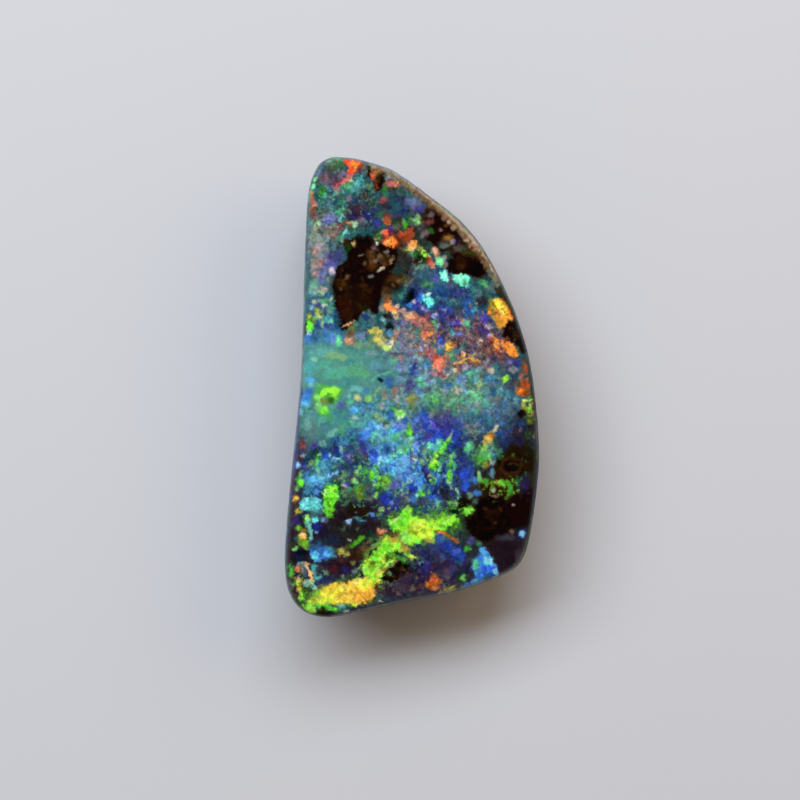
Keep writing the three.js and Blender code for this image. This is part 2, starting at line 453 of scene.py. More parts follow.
# Mosaic of small grains, zone by zone
MOSAIC = """
f dte,slt,tea,dtg,plm,grt,nav 345 185 44 36 5 0.8 0.5
f tea,grt,dte,mau,sea 345 200 46 44 3 0.7 0.35
f dpl,nav,plm,dgy,dte 378 212 30 20 5 0.8 0.5
f nav,ind,dte,tea,slt 408 204 18 14 5 0.8 0.45
f cof,umb,brn,gry,tea-,dgy,sie,umb 440 216 34 24 3.2 0.9 0.55 48 1.3
f umb,cof,brn,dgy,gry,umb 474 258 18 22 3.2 0.9 0.5 55 1.3
f brn,cof,tan-,umb,dte,gms-,mar 398 186 26 9 3 0.85 0.55 30 1.2
f umb,mar,dgr,dte,brn,olv,gry 404 262 18 20 3.2 0.85 0.5
f psg,lil,dpk,grt,gre,ste,sag 322 236 16 26 3.6 0.85 0.55
f mau,lav,dpk,slt,ste,grt 322 262 14 24 4 0.85 0.55
f tea,nav,psg,ste,blu,sag,gre 322 300 14 22 4 0.85 0.5
f blu,ste,sky,slt,tea,roy 326 334 18 12 4 0.8 0.5
f ste,tea,grt,tan,sea,slt,nav 366 334 22 16 4 0.85 0.5
f dte,nav,slt,tea,ind 420 282 24 14 6 0.8 0.5
f nav,deb,tea,dte,ind,ste 450 300 34 20 7 0.85 0.5
f ind,nav,slt,plm,tea,blu,mau 455 325 36 18 5 0.85 0.5
f lav,grt,dpk,slt,ste,tan,ltl,mau 410 340 26 22 4 0.9 0.6
f lav,slt,gre,mau,ste,sag 408 352 24 20 2.8 0.8 0.5
f mau,plm,slt,sie,grt,ind,tea,dpk 470 345 34 24 4 0.9 0.5
f plm,mau,tan,lav,tea,div,plm,win 470 345 34 28 2.8 0.85 0.5
f sal-,tan,ros-,sie,gol-,pea-,ltl-,lav 455 345 48 34 2.0 0.3 0.75
f sal-,tan,ros-,sie,pea-,sag,ltl- 400 345 26 24 2.0 0.3 0.7
f ste,sea,tea,ltl,sag 335 370 42 28 6 0.7 0.28 -15 1.8
f sea,ltl,ste,sag 345 368 46 30 3 0.6 0.2 -20 2
f ste,tea,blu,nav,grt,ltl,lav 402 372 26 24 4 0.9 0.5
f blu,ste,grt,tea,lav,nav,ltl 420 382 30 28 3.2 0.8 0.5
f ste,blu,tea,tan,sag,grt,nav,ltl 385 402 34 18 3.6 0.9 0.55
f sea,grt,sea,ste,tan,tea,sag 462 396 36 22 3.4 0.9 0.5
f sea,ste,slt,blu,tea,lil 478 386 30 24 4.5 0.8 0.45
f slt,plm,div,nav,tea,mau 505 385 20 32 4 0.85 0.5
f tea,sea,ste,grt 320 424 24 26 6 0.7 0.3 -20 1.6
f sea,tea,ste,blu 350 425 30 20 4.5 0.8 0.4 -30 1.5
f ind,vio,nav,deb,lav,slt 440 424 28 14 5 0.85 0.5 35 1.6
f nav,blu,deb,slt,tea 500 425 22 20 4 0.8 0.5
f blu,sky,ste,tea,sea,ltl,deb 385 438 28 16 4 0.9 0.55 -60 1.6
f sea,tea,blu,ltl,gms,sky 402 442 18 16 3 0.9 0.5 40 1.8
f plm,nav,dte,ind,tgr,grt,slt 358 462 24 20 4 0.9 0.55 30 1.6
f lav,dtg,dte,ste,tgr,mau 350 466 22 22 2.6 0.7 0.45 25 2.2
f sky,blu,cyn,deb,tea,ltl 392 465 22 16 4 0.9 0.5 -50 1.6
f dtg,gms,dte,nav,grt,olv,sag 358 484 24 18 3.4 0.9 0.55 -50 1.6
f blu,deb,nav,roy,ind,tea 440 470 40 34 5 0.9 0.5 -65 2
f nav,ind,slt,dte,deb 400 496 30 16 4.5 0.9 0.5
f slt,dgy,nav,dte,grt,dgr 432 500 30 14 3.2 0.9 0.55
f dgr,tgr,nav,slt,dte 475 462 18 26 4 0.85 0.5 -80 1.6
f dpl,div,umb,dgy,dtg 345 530 44 26 5 0.8 0.4
f dgy,plm,nav,umb,mar 345 556 40 18 3 0.6 0.4
f div,plm,ind,slt,dgy,win 425 568 50 24 4.5 0.9 0.5
f dgy,plm,brn,grt,div,gry 415 585 60 14 2.4 0.8 0.5
f plm,ind,slt,mar,nav,dpl 298 450 10 40 4 0.85 0.5
f dpl,div,oli,dte,umb 296 530 10 40 4 0.85 0.5
"""

# The narrow tip
TIP = """
b slt 324 163 5 3.5 -35
b ste- 318 171 3.5 6 15 0.8
l psg 1.5 1 0.55 327,161.5 333,160 340,159.8
b sea- 340 160.5 6 2 0 0.75
b oli 334 166 8 4.5 -10 0.7
b dtg+ 333 165 4 2 0 0.6
b dgr 343 167 4 4 0 0.5
b dgy 336 173 6 3 0 0.6
b nav+ 320 176 3 5 0 0.7
b dpk 326 178 2 4 -15 0.7
b dgy 330.5 177.5 2 3 0 0.7
b nav+ 328 185 5 5 0 0.6
b dtg 319 187 4 4 0 0.7
b mnt 315.6 180 2.3 2.2 0 0.95 0.4
b bgr+ 315 183.6 2.5 1.2
b mnt 313.4 187.6 2.8 2.8 0 0.95 0.4
b amb- 311.6 197 3.6 4.3 0 0.95 0.4
b pea 311 193.5 2 1.5 0 0.6
b ros 312.5 203 3.8 2.3 10
b sal 315.3 206.6 3 2.4
b sie 314 211.6 2.8 2.6
b ros- 314.3 216.3 2.6 3.6 0 0.85
b ltl- 309 222 2.2 2.2
b ste 311 226.5 3 3.5 0 0.7
b gms- 324 191.8 4 3 0 0.8
b sea 325 196.5 3.2 2.8
b dgr 321 195 3 4 0 0.6
l sag 1.2 0.8 0.8 330.5,198.3 334.5,197 338.5,194
b red- 363 168 3 3.5 0 0.5
l cor 2.6 1.6 0.95 357,164 353.5,170 350,176 347,181
l red- 1.8 1.3 0.8 361.5,164 359,170 355,175
b red 347.8 163.5 3.8 3.6 0 0.95
b ora 355.3 165 5 4.8 0 1 0.4
b ora 353 170 3.8 4.2 0 1 0.4
b org- 357.5 161.7 3 1.8 0 0.8
b red 351.3 171.5 2 3.4 0 0.7
l red 1.9 1 0.95 352,173 349,178 346.5,180
b sal 349.3 181 2.4 2.1 -30
l crm 2.9 1.8 0.95 348,177 343,182 338.5,188
l ros+ 1.4 1 0.7 346.5,181 341.5,186.5
b plm+ 343.5 176.5 3.4 3.4 0 0.9
b ind+ 344 175.5 1.8 2.2 0 0.6
b plm 337.5 177.5 3.2 2.6 -20 0.8
b win 335.8 184.5 2.8 3 0 0.8
b ros 338 188.8 2.2 3.4 35 0.95
b ros 337 192 1.6 2 0 0.8
l pea- 0.9 0.8 0.6 340.5,191.5 338,195.8
b gry 365 172 2.5 4 0 0.5
P ibk 1.0 0.95 368,166 373,168.5 385,172.5 387,176 385,183 382,191.5 378.5,192.5 374.5,186 370.5,179.5 367,177.5
B brn 375.5 174.5 4 3 0 0.7
B amb- 375.3 174.2 2.6 2.2 0 0.95 0.4
B cor 373.5 178.4 2.1 3 0 0.9 0.4
L red- 1.4 1 0.8 375.5,181 376.5,185 377.3,189
B cof 378 181 2 5 0 0.5
b pea- 378 169.6 3 1.3 20 0.7
b brn 373 171 2 2 0 0.6
b slt+ 388 178.3 2.6 3.6 0 0.8
b ltl- 396 179.3 3.8 2.7 10 0.85
b ros 391 185.6 5 2.3 8
b sal 396.8 185.8 2.4 2.2
b gms- 385.3 192 2.6 4.5 0 0.8
b tgr 386 196 2 3 0 0.6
b psg- 373.3 193 1.5 1.4 0 0.9
b dte 376 196.5 4 3.5 0 0.8
b sag- 367.6 188.5 3 2.2 0 0.8
b cof 366 195.5 3.6 3.6 0 0.6
b tea 345 192 6 4 0 0.8
b tea- 352 194 5 4 0 0.8
b tea 357 188 8 5.4 0 0.9 0.4
b ltl- 358.8 192.5 4 4 0 0.8
b cyn- 359.3 183.8 4.3 3.7 0 0.95 0.4
b cyn- 357.5 187 3 3 0 0.6
b psg 353.4 182.6 1.4 1.6 0 0.9
b mnt- 348.5 187.6 4 2.6 0 1 0.35
b ste- 328 203 6.5 5 0 0.8
b ste 329 207 3 3 0 0.4
b dte 336 203 4 5 0 0.7
b plm+ 349 200.5 3 2 0 0.7
b tgr 343 204.5 4 4 0 0.8
b sea- 342 201.6 2 1.6 0 0.8
b sea 339.5 212.8 3.3 2.8 0 0.95 0.4
b mnt- 343.5 214 3.2 3 0 0.9
b mnt- 345.5 211 1.8 1.8 0 0.7
b ltl 341.8 217.8 2.4 2.2
b lsk 339.9 222 1.7 1.8 0 0.85
b ste- 347.8 209 2.4 3 0 0.7
b ind+ 334.3 218.6 3.6 3.4 0 0.8
b vio 328.7 222 4.2 3.8 0 0.7
b lav 327.5 219.5 2.6 2.4 0 0.7
b grt- 320 213 4.5 4 0 0.6
b slt- 326 213 4 3.5 0 0.5
b psg 318 225.6 2.4 2 0 0.9
b gre 316.6 229 2 2 0 0.8
b dpk- 333.5 234 5.6 6.5 0 0.75
b ros- 341 228.6 3.2 3 0 0.85
b brn+ 332 236 1.3 1.2 0 0.7
b ros- 337.5 234 1.5 2 0 0.6
b brn 346.4 224 1.7 2 0 0.8
b pea- 350 224.6 2.4 2.3 0 1 0.4
b sag+ 355 226 2.8 2.4 0 0.9
b oli 350 229.4 3 1.6 0 0.7
l sea 1.7 1.1 0.85 347.4,229.5 344,235.5 341.5,239
b ltl 346 234.3 2.6 2.7 0 0.95 0.4
b mnt- 340.2 239.3 1.8 1.5
b sea+ 342.6 243 1.9 1.6
b dpl 357 213 9 7 0 0.75
b plm 360.5 208 3.5 4 0 0.6
b win- 360 214 3 3 0 0.5
b div 353 218 5 4 0 0.6
b nav 372 213.5 6 3.5 0 0.7
b ind- 368 219 6 4.5 0 0.8
b ind 376.5 225 3.6 3.4 0 0.8
b nav 379 222 3 3 0 0.6
b tgr- 380.5 215.6 3.6 3.2 0 0.8
b sag- 383.3 220.6 1.5 2 0 0.8
b plm+ 362 223 3.6 3.4 0 0.6
b ros- 384 202 4.2 2.5 -18 0.9
b dpl 387 207 4 3 0 0.6
b dte 397 208 4.5 4.5 0 0.6
b dte 392 200 4 6 0 0.6
b grt 322 235 4 5 0 0.5
b psg- 320.6 242.5 1.7 3.6 0 0.7
b lil- 325.5 247.5 3 1.7 0 0.7
b psg- 316 239 2 3 0 0.6
b lil- 322 229 2 2.4 0 0.5
b ltl- 334.8 252 1.6 3.6 0 0.7
b dte 330.8 246.5 3 4 0 0.7
b gry 328 252 2.5 3 0 0.4
"""

# West flank beside the pitted ironstone
FLANK = """
b dte++ 322 246 6 10 0 0.5
b win+ 316 252 3 4
b dpk+ 316 252.5 1.3 1.3
b win++ 319 248 3 2.4 0 0.6
b dpk 320 263 3.4 4.3
b cof++ 314 268 2.6 7 0 0.8
b dpk 317 275 3 4 0 0.7
l ind+ 3 1.6 0.7 329,262 325,270 322,280
b per- 334 265 3.8 3.6 0 0.8
b per-- 339 257 5 6 0 0.8
b per-- 331 257 5 5 0 0.6
b lil+ 333 271.5 2.4 2.8
b bgr++ 329.5 280.5 2 2.2 0 0.8
b grt- 332 283 2.6 4 0 0.8
b tgr+ 314 284 3.3 4.2
b tea+ 313 291 3.6 3.8 0 0.85
b ste- 307 292 3 6 0 0.7
b cof++ 325 290 3.3 2.8 0 0.85
b dgr++ 321.5 293 2.6 2.4 0 0.8
b ste- 319 298 5 4 0 0.6
b mnt- 327 302 4.6 2.4 0 0.85
b psg+ 332 299 1 2.4 25 0.85
b olv++ 315 303 1.6 1.6
b dte++ 319 302 1.8 1.6 0 0.7
b sag++ 325.5 306 2 1
b per-- 319 305.5 3 2 0 0.8
b ltl+ 312.5 308.5 2.2 2
b lsk-- 307 306 3 8 0 0.6
b yol 318.5 313 2.5 4
b yol+ 321 317 1.8 1.8 0 0.85
b gms+ 317 318.6 2 2 0 0.8
b lem- 310 316 2.4 3 0 0.95
b lem-- 313.5 322 3 3 0 0.6
b grn 310.4 326 3 5.2 0 1 0.35
b sea++ 309.5 332.4 2 1.8
b bgr-- 305.7 329 1.6 5 0 0.8
b sag 323 322 2 4 0 0.85
b cyn- 329 319 4.6 3.2 0 0.85
b ltl 331 321.5 2.2 1.8
b ste-- 325 313 3 4 0 0.6
b min-- 333 308 2.5 5 0 0.8
b psg- 330 313 1.8 2.4 0 0.7
b lav-- 329 327.5 3.4 2.6 0 0.7
b sky- 328 335 7 5 0 0.8
b roy+ 334 338 3 4.6 0 0.8
b blu 309.5 339 3.2 4 0 0.85
b sky-- 316 338 4 4 0 0.6
b ste 321 333 2.2 3 0 0.6
b min- 339 337 2.4 4 0 0.8
b mnt 339.6 342.5 3 3.3
b lsk-- 346 336 3.4 4.5 0 0.6
b sie 352 334 3.6 3 0 0.85
b rus+ 350 341 4.8 3.6
b rus++ 347.5 340.5 2 1.6 0 0.7
b psg- 358 345 4 2.6 0 0.7
b ind+ 362 336.5 3.8 2.8 0 0.85
b ste- 358 330 4 3.6 0 0.6
b ste 366 343 3.6 2.6 0 0.6
p yol 0.9 0.9 369,330 375,329 383,330 384,334 378,336 371,335
b yol+ 376 331.5 4 1.6 5 0.6
b yol 377 338 3 2 0 0.8
b yol+ 380 342.5 4.4 2.6 35 0.95
b sag- 373 341 3 2.6 0 0.6
b dgy 384 337.5 2.6 2 0 0.6
b grn+ 387 348.6 4.4 2.8 0 0.95
b yol++ 391.6 344 1.8 3.2 30 0.95
b pea- 395 336 1.8 4 20 0.85
b pea- 399 331 2 1.6 0 0.5
b nav++ 372 354 5 2.4 0 0.7
b ste 381 353 4 2 0 0.5
"""

# Blue ground right of the pit
# Painted highlight: a small pale glint
# Painted highlight: a small pale glint on the cyan patch
BLUE_GROUND = """
b ste- 425 273 10 6 0 0.6
b per- 434 279 4 3.4 0 0.85
b mnt-- 427 285 6.4 4.4 0 0.85
b sea- 430 284 3 2 0 0.6
b ste-- 417 282 3.6 4 0 0.7
b tgr+ 414 276 2 2.4 0 0.5
b ste- 439 285.5 4 2.6 0 0.6
b dpl+ 449.5 281 1.8 3.4 0 0.7
b min 443.6 278 3.5 5 15 1 0.35
b min++ 443.4 276 1.8 2.4 0 0.6
p min 1.1 1 452,276 460,274.5 468,275.5 470,281 469,288 464,289.5 458,285 452,280
b min+ 458 277.5 3.6 2 10 0.5
b min- 466 285 3.2 3.4 0 0.7
b min- 470 288.5 2 2 0 0.6
b mnt- 484 284.5 2.4 5 -35 0.9
b mnt-- 478.5 282 2 3 -30 0.6
b slt 450 286.5 5 3 0 0.7
p cyn 1 1 422,293 427,296 431,298 433.5,303 433,307 429,308 425,304 422,298
b min 429 301 2.4 4 -20 0.6
b pcy++ 428 294.8 1.7 1.4
b sky 420.4 298 1.6 3.6 0 0.85
b blk 410 297 5.4 4.4 0 1 0.35
b dnv-- 412 291 4 3 0 0.8
b dnv- 406 302.5 3.4 2.6 0 0.9
b gre++ 415 302 2.3 1.2 -10 0.95 0.4
b roy- 417 297.5 2.6 4.4 0 0.8
b blu 411 306.5 4.2 2.2 20 0.85
b ind 418 307 4.6 3.4 0 0.85
b lav 424 309.4 4.8 1.9 25 0.85
b min-- 401.5 296 2.3 3 0 0.85
b dtg-- 401 290 3 3 0 0.8
b sag- 407 288 2.4 1.4 0 0.6
b tea 436 301.5 3.4 4.4 0 0.85
b nav- 440 304 4 3 0 0.7
b blu-- 445 293 9 5 0 0.8
b blu- 436 290 4 2.6 0 0.7
b per-- 457 293.5 7 3.4 0 0.75
b sky-- 447 300 5 3 0 0.6
b tea- 455 303.5 6.5 4.6 0 0.75
b blu- 466 304 4.6 3.4 0 0.85
b tea 472 290.5 3 2.6 0 0.85
b cyn- 474 310.5 3.2 3 0 0.9
b blu- 467.6 312.4 5.4 4 0 0.85
b ind 444 314 5.4 4.6 0 0.85
b per- 440 310 2.4 3 0 0.6
b slt- 458 311 5 4 0 0.7
b dpl 480 302 6 4.4 0 0.8
b grt 478 294 3.6 3 0 0.6
b ste-- 485 293 3 5 0 0.7
p ora 1.1 1 385,302 388,300 391,304 396,308 399,312 396,315 391,313 387,312 384,308
b cor+ 393 308.6 3 2 25 0.8
b ora+ 387.6 305.4 1.8 2.4 0 0.6
b sal- 386 300 2.6 1.8 0 0.7
b sal++ 397.4 307 1.8 1.8 0 0.95
b ros+ 402 311 2.8 2.2 0 0.95
b ros- 399 316 2 2 0 0.5
b yel+ 395.6 316.4 2.2 3.4 -20 1 0.4
b yol+ 398.4 320 2.2 1.6 0 0.85
b umb- 388 316.4 4 2.4 0 0.95
b blk 390 327.5 2.8 4.4 25 0.95
b sky- 390 334 2.8 1.9 0 0.9
b ltl 384.6 322 1.8 2 0 0.7
b mar++ 382 309 2.6 3.6 0 0.8
b tea+ 383 319.5 2.2 2.6 0 0.8
b ltl-- 396 326 3 4 0 0.6
b pea 409 316 4.6 2.6 15 0.95
b sal- 405 319.5 2.6 2 0 0.7
p ros 1.1 0.95 409,318 415,315 421,315 427,320 430,326 426,328 420,326 413,323
b cor+ 416 318.5 4 1.8 15 0.7
b ros- 427 317.5 2.6 3.6 0 0.85
b ros- 423 323.6 3.4 1.8 30 0.7
b blk+ 424 329 4.6 2 0 0.8
p org- 1.1 1 421,332 427,331 433,330 432,335 427,340 424,341 421,337
b amb 425.4 337.6 2.6 3 0 0.95 0.4
b org 428.6 333.4 2.6 1.8 -10 0.7
b rus+ 433.4 333 1.8 2 0 0.8
b org- 434 338 2.4 2 0 0.5
b mau 404 327 2 4.6 0 0.85
b win++ 404.6 323.4 1.4 1.4 0 0.6
b cyn-- 409 327 2.6 3.8 0 0.85
b ltl- 417 333 2.4 4.6 0 0.85
b olv+ 412.6 332 1.6 2.4 0 0.5
b brn++ 409 336.4 3.6 1.8 0 0.8
b nav+ 402 336 2.4 3 0 0.7
"""

# Orange and green sparks, and the ironstone beside them
# Painted highlights: two small pale glints on the ironstone
SPARKS = """
P umb 3 0.7 430,203 444,210 462,226 478,246 490,266 480,272 466,262 450,256 434,246 424,236 422,220 428,210
F umb,dgy,plm,blk,cof-,slt 455 238 30 20 2.6 0.7 0.6 48 1.4
F tan-,gre-,sie,gry,ros- 446 226 22 20 1.7 0.1 0.6 48 1.2
b nav+ 414 205 8 6.4 15 0.8
b ind 419 210 5 3.6 10 0.7
b tea- 410 196.5 7 3.2 18 0.7
b slt 421 203 4 3 0 0.5
b tea- 401 191 5 4 0 0.5
b cof 400.5 222 3 3.5 0 0.7
P ibk 1.4 0.95 425,198 432,200.5 441,206.5 450,215 457,222 463,230 466,236 461,238 456,243.5 450,249 443,252 436,247 430,243.5 424,240.5 422,230 428,222 431,212 427,204
B dgy 425 232 4 6 0 0.6
B dgy 444 245 6 3.6 0 0.6
B mau 426 234 3 3 0 0.8
B dpk- 426 233 1.4 1.6 0 0.7
B gry 421.5 237 2 3 0 0.6
B dgr 431 232 2.4 2 0 0.8
B lim 438 208.5 1.3 1.2 0 0.95
B gre 448.6 223 1.5 1.3 0 0.9
B dpk- 443.5 219 2 2.4 0 0.75
B sie 446 226.5 2 1.5 0 0.6
B plm+ 431 216 2.5 3 0 0.7
B ros- 429.5 223.5 3.4 1.8 -25 0.7
B tan 453 228.5 2 2.2 0 0.8
B gry 453.6 229 1 1 0 0.7
B tan- 461 236 2.6 2 30 0.8
B brn 447 238.5 4.6 3.4 0 0.85
B amb- 447.4 238.6 2.8 1.8 -8 0.6
B mau+ 451.6 243 2.4 2.4 0 0.8
B grt 444 246.5 4 2 0 0.7
B div 457 242.5 3 3 0 0.5
B gre 465.3 241.6 2 1.5 0 0.9
B gry 459 231 1 1 0 0.6
B brn 440 230 1.5 1.5 0 0.5
B dpk 441 231 0.9 0.9 0 0.7
P umb 1.2 0.6 446,249 456,247 466,244 474,250 478,258 468,258 458,252
B gry- 457 249.5 4 2.6 0 0.7
B oli- 469 252 5.5 4 20 0.8
B dgy 464 248 3 2 0 0.6
b sal- 471.8 245.6 3.8 2.2 25 0.9
b dpk 475 249 2.4 2 30 0.7
P ibk 1.1 0.97 455.5,253.5 460,254.5 466,258.5 474,259.5 480,264.5 484,271 484.5,276 478,279 470,276.5 463,275 455,275.5 448,274.5 445.6,270.5 449.5,262
B umb 460 263 5 5.5 0 0.8
B cof 459 268 4 2 0 0.5
B blk 476 269 5 6 20 0.7
b rus- 437 254 2.4 3 0 0.6
p rus 1.2 0.95 398,231.5 404,233 409,228.5 413.5,230.5 415,236.5 411.5,243 406,244.5 401,240.5
b cor- 411 233.5 2.6 2.6 0 0.7
b cor- 400.3 235 2.2 2.4 0 0.8
b rus- 406 240 4 2.6 0 0.6
b mar 399 245 4 4 0 0.5
b ora+ 412.3 247 3.6 3.2 0 0.95 0.4
b org 413 244 2 2 0 0.7
b gol+ 409.6 251 2.1 2
b gol- 417 247.5 2 2.6 0 0.6
b mnt- 412.8 255 3.4 2.4 0 0.95 0.4
b bgr 418 257 4 3.6 0 0.7
b lem+ 420.4 251.5 2 3.6 -12 0.95 0.4
b bgr 424 259.5 5 2.4 30 0.7
b lgr 425.5 256.3 4.1 2.1 42 1 0.4
b psg 428.4 258.4 1.4 1.2 0 0.8
b cor- 428.6 260.8 3 2.3 0 0.95 0.4
b cor- 429 264 3 3 0 0.6
b sal 431.8 266.5 2.6 2.8 0 0.9
b sal+ 434.3 251.8 2.8 3.6 0 0.95 0.4
b pea- 437 256.4 1.8 2.2 0 0.8
b mnt 440 263.4 3.7 3.8 0 1 0.4
b gre 443.6 259 1.7 2.2 0 0.8
b dpk 444.5 267 1.6 2.6 0 0.7
b blk 420 262.5 3.4 3 0 0.6
b gry+ 420.2 262 1.2 1.2 0 0.9
b sag 419 268.3 2.8 1.2 20 0.7
b psg- 424 266.5 2 1.8 0 0.6
b mar 415 262.5 2.4 2 0 0.8
b rus- 387 217 4.6 2 0 0.6
b cor- 387 221.5 2.7 3.6 0 0.95 0.45
b ora- 388.4 225.2 2.4 2.6 0 0.8
b mar 393 226 2 5 0 0.5
b mar 391 242.5 8.6 8 0 0.9
b rus 391 242 7.2 6.8 0 0.9
b cor 385.3 234.6 2.2 3.8 -35 0.95 0.45
b pea- 381.7 234.2 1.7 1.4 0 0.9
b vio- 391.5 231 3.2 3.3 0 1 0.4
b ind 391.8 229 2 1.5 0 0.6
b ora 391 243 5.4 5 0 1 0.4
b ora+ 386.6 243.5 2 2 0 0.8
b amb 391.6 240.6 3 2.2 0 0.95 0.5
b org 392.6 246.5 2.6 2 0 0.8
b gms- 379.3 236.5 2.3 2.6 20 0.8
b yol 376 240 2.6 1.8 20 0.75
b sag 380.6 241.4 1.4 1.4 0 0.6
b grn- 406.2 225 3.2 3.7 0 0.95 0.4
b sea 404.6 222 1.6 2 0 0.6
b dgr 410.5 219.5 2 4 0 0.6
b gms+ 416 222 4.2 1.9 12 0.9 0.5
b sag 417.8 217.6 2.3 2.1 0 0.85
b sag 417.5 225.6 2.6 1 -20 0.7
b sag- 397.4 228 2.2 2.6 30 0.75
b dgr- 396 224 2.5 3 0 0.5
"""

# Pitted ironstone
# Painted highlight: a tiny pale glint, with a brown spot around it
# Painted highlight: pale line along the lower-left edge of the pit, where the edge catches the light
# Painted highlights: two small pale glints in the pit
PIT = """
P ibk 1.3 0.98 340,245 343,246.5 347,252 348,259 344,265 338.5,268 335.8,272 336,277 333.8,284 334.2,289 335.6,294 335.8,309 339,313 339.3,321 341.5,326.5 345.5,330 350,327.5 355,323 359,321 363,315 368,309.5 372,312 378,316.5 379,311 380,305 382,298 383,292 388,288 395,287.5 400,284.5 402,279 404,276 410,272 411,263 405,254 397,250.5 390,248 382,245 372,242.5 366,236 360,239 350,240.5
B blk 366 240 8 4 0 0.7
B umb 372 265.5 7 6 0 0.9
B cof 372 265 4.5 4.5 0 0.7
B rus- 371.6 266 3.6 3.6 0 0.16
B umb 343 285 7 4.6 0 0.9
B cof 342.6 285 4.4 3 0 0.85
B rus- 342.6 285.6 2.6 1.6 0 0.2
B umb 357 300 14 14 0 0.6
B umb 348 314 8 9 0 0.7
B mar- 344 306 6 9 0 0.5
B cof 350 318 3 5 0 0.3
f umb,cof,brn,gry,ibk 377 258 10 8 2.6 0.8 0.5
f umb,cof,ibk,blk 355 290 20 30 3.2 0.7 0.4
f umb,cof,brn,ibk 343 277 8 6 2.2 0.7 0.5
B brn 371 256 4 5 0 0.5
B tan- 380 258 2.2 2 0 0.8
B brn+ 376 262 1.8 1.6 0 0.6
B tan- 364.8 265 1.5 1.3 0 0.7
B tan- 386.8 254 2 1.7 0 0.9
B gry 387 252.6 1 .8 0 0.5
B tan 391 263 1.1 2.2 10 0.95
B tan- 393 259.5 1 2 10 0.7
B gre 382 270 2.2 1 -28 0.95 0.4
B gre 378.8 271.6 1.6 1 0 0.9
B gry 370.7 277.6 1.9 0.9 0 0.85
B mau 374 249 1.8 2.2 0 0.75
B lim 376.6 244.5 1.1 1.2 0 0.95 0.4
B cof 376.6 244.5 2.6 2.4 0 0.5
B lim 376.6 244.5 0.9 1 0 0.9 0.4
B cof 354.5 244.6 2.6 3.6 0 0.8
B yol+ 354.5 245 1.1 1.9 0 0.85
B gry 362 256.6 1.9 0.7 -5 0.8
B brn 347.5 278 2 2.2 0 0.8
B tan- 348.2 277 1.1 1.2 0 0.7
B tan- 341 289.6 0.9 1.5 0 0.7
B cof 385 262 4 4 0 0.6
B brn 384.5 266 2.4 2 0 0.6
B gry 389 257 1.2 1 0 0.5
B cof 346.5 244.5 3 3.6 0 0.6
B dgr- 349 249.5 2.4 3 0 0.7
B cof 364 286 3 2 0 0.5
B umb 392 284 6 4 0 0.7
P dgy- 1.6 0.85 397,251.5 404,254 410,261 410,270 405,275.5 395,277.5 389.5,273 394,268 398,260
B dte- 400 271 6 3.6 0 0.7
B gry- 409 258 1.8 1.6 0 0.5
b brn- 396 281 9 4.5 0 0.85
b oli 404.5 281.6 5 3 0 0.8
b brn 397.5 281.5 2.4 2.2 0 0.8
b tan- 398.3 282 1.1 1.8 -30 0.8
b yol- 405.6 283 1.7 1.2 0 0.75
b gry 410.6 283 1.4 2.4 0 0.6
B ibk 392.6 285.5 3.4 3.6 0 0.8
B tan- 392.3 285.6 0.9 1.1 0 0.8
b ibk 395 290 4 2.4 -30 0.7
b brn 386 293 3 5 0 0.8
b cof 390 293 3.4 3.4 0 0.7
b sie 385.6 300 2.6 3.4 0 0.8
b dpk- 385.8 302.5 1.6 1.5 0 0.6
b tan- 390.6 297.3 3 1.8 0 0.75
b oli+ 386.5 296 1.6 1.6 0 0.5
l pea- 0.9 0.7 0.95 344,326.6 348,325.6 352,323.3 355.4,321
b pea 348.6 325.2 1.6 0.8 -15 0.8 0.4
b yol- 352.6 328.3 2.6 1.4 -20 0.8
b psg- 357 325.4 2.6 1.1 -38 0.85
b dgr- 355 327 2 2 0 0.5
b dgy 362.5 314.8 1.4 1.2 0 0.7
b nav 366.5 317 3.2 3.4 0 0.8
b gry 363.8 312.6 1.3 1.1 0 0.8
b psg- 373.6 317.6 1.2 2.4 -30 0.8
b grt 369.5 313.6 0.9 2.4 -10 0.8
b ste- 372.5 323.5 4.5 4 0 0.85
b dte 361 322 4 3 0 0.6
b bgr 366 309 2 2 0 0.5
"""
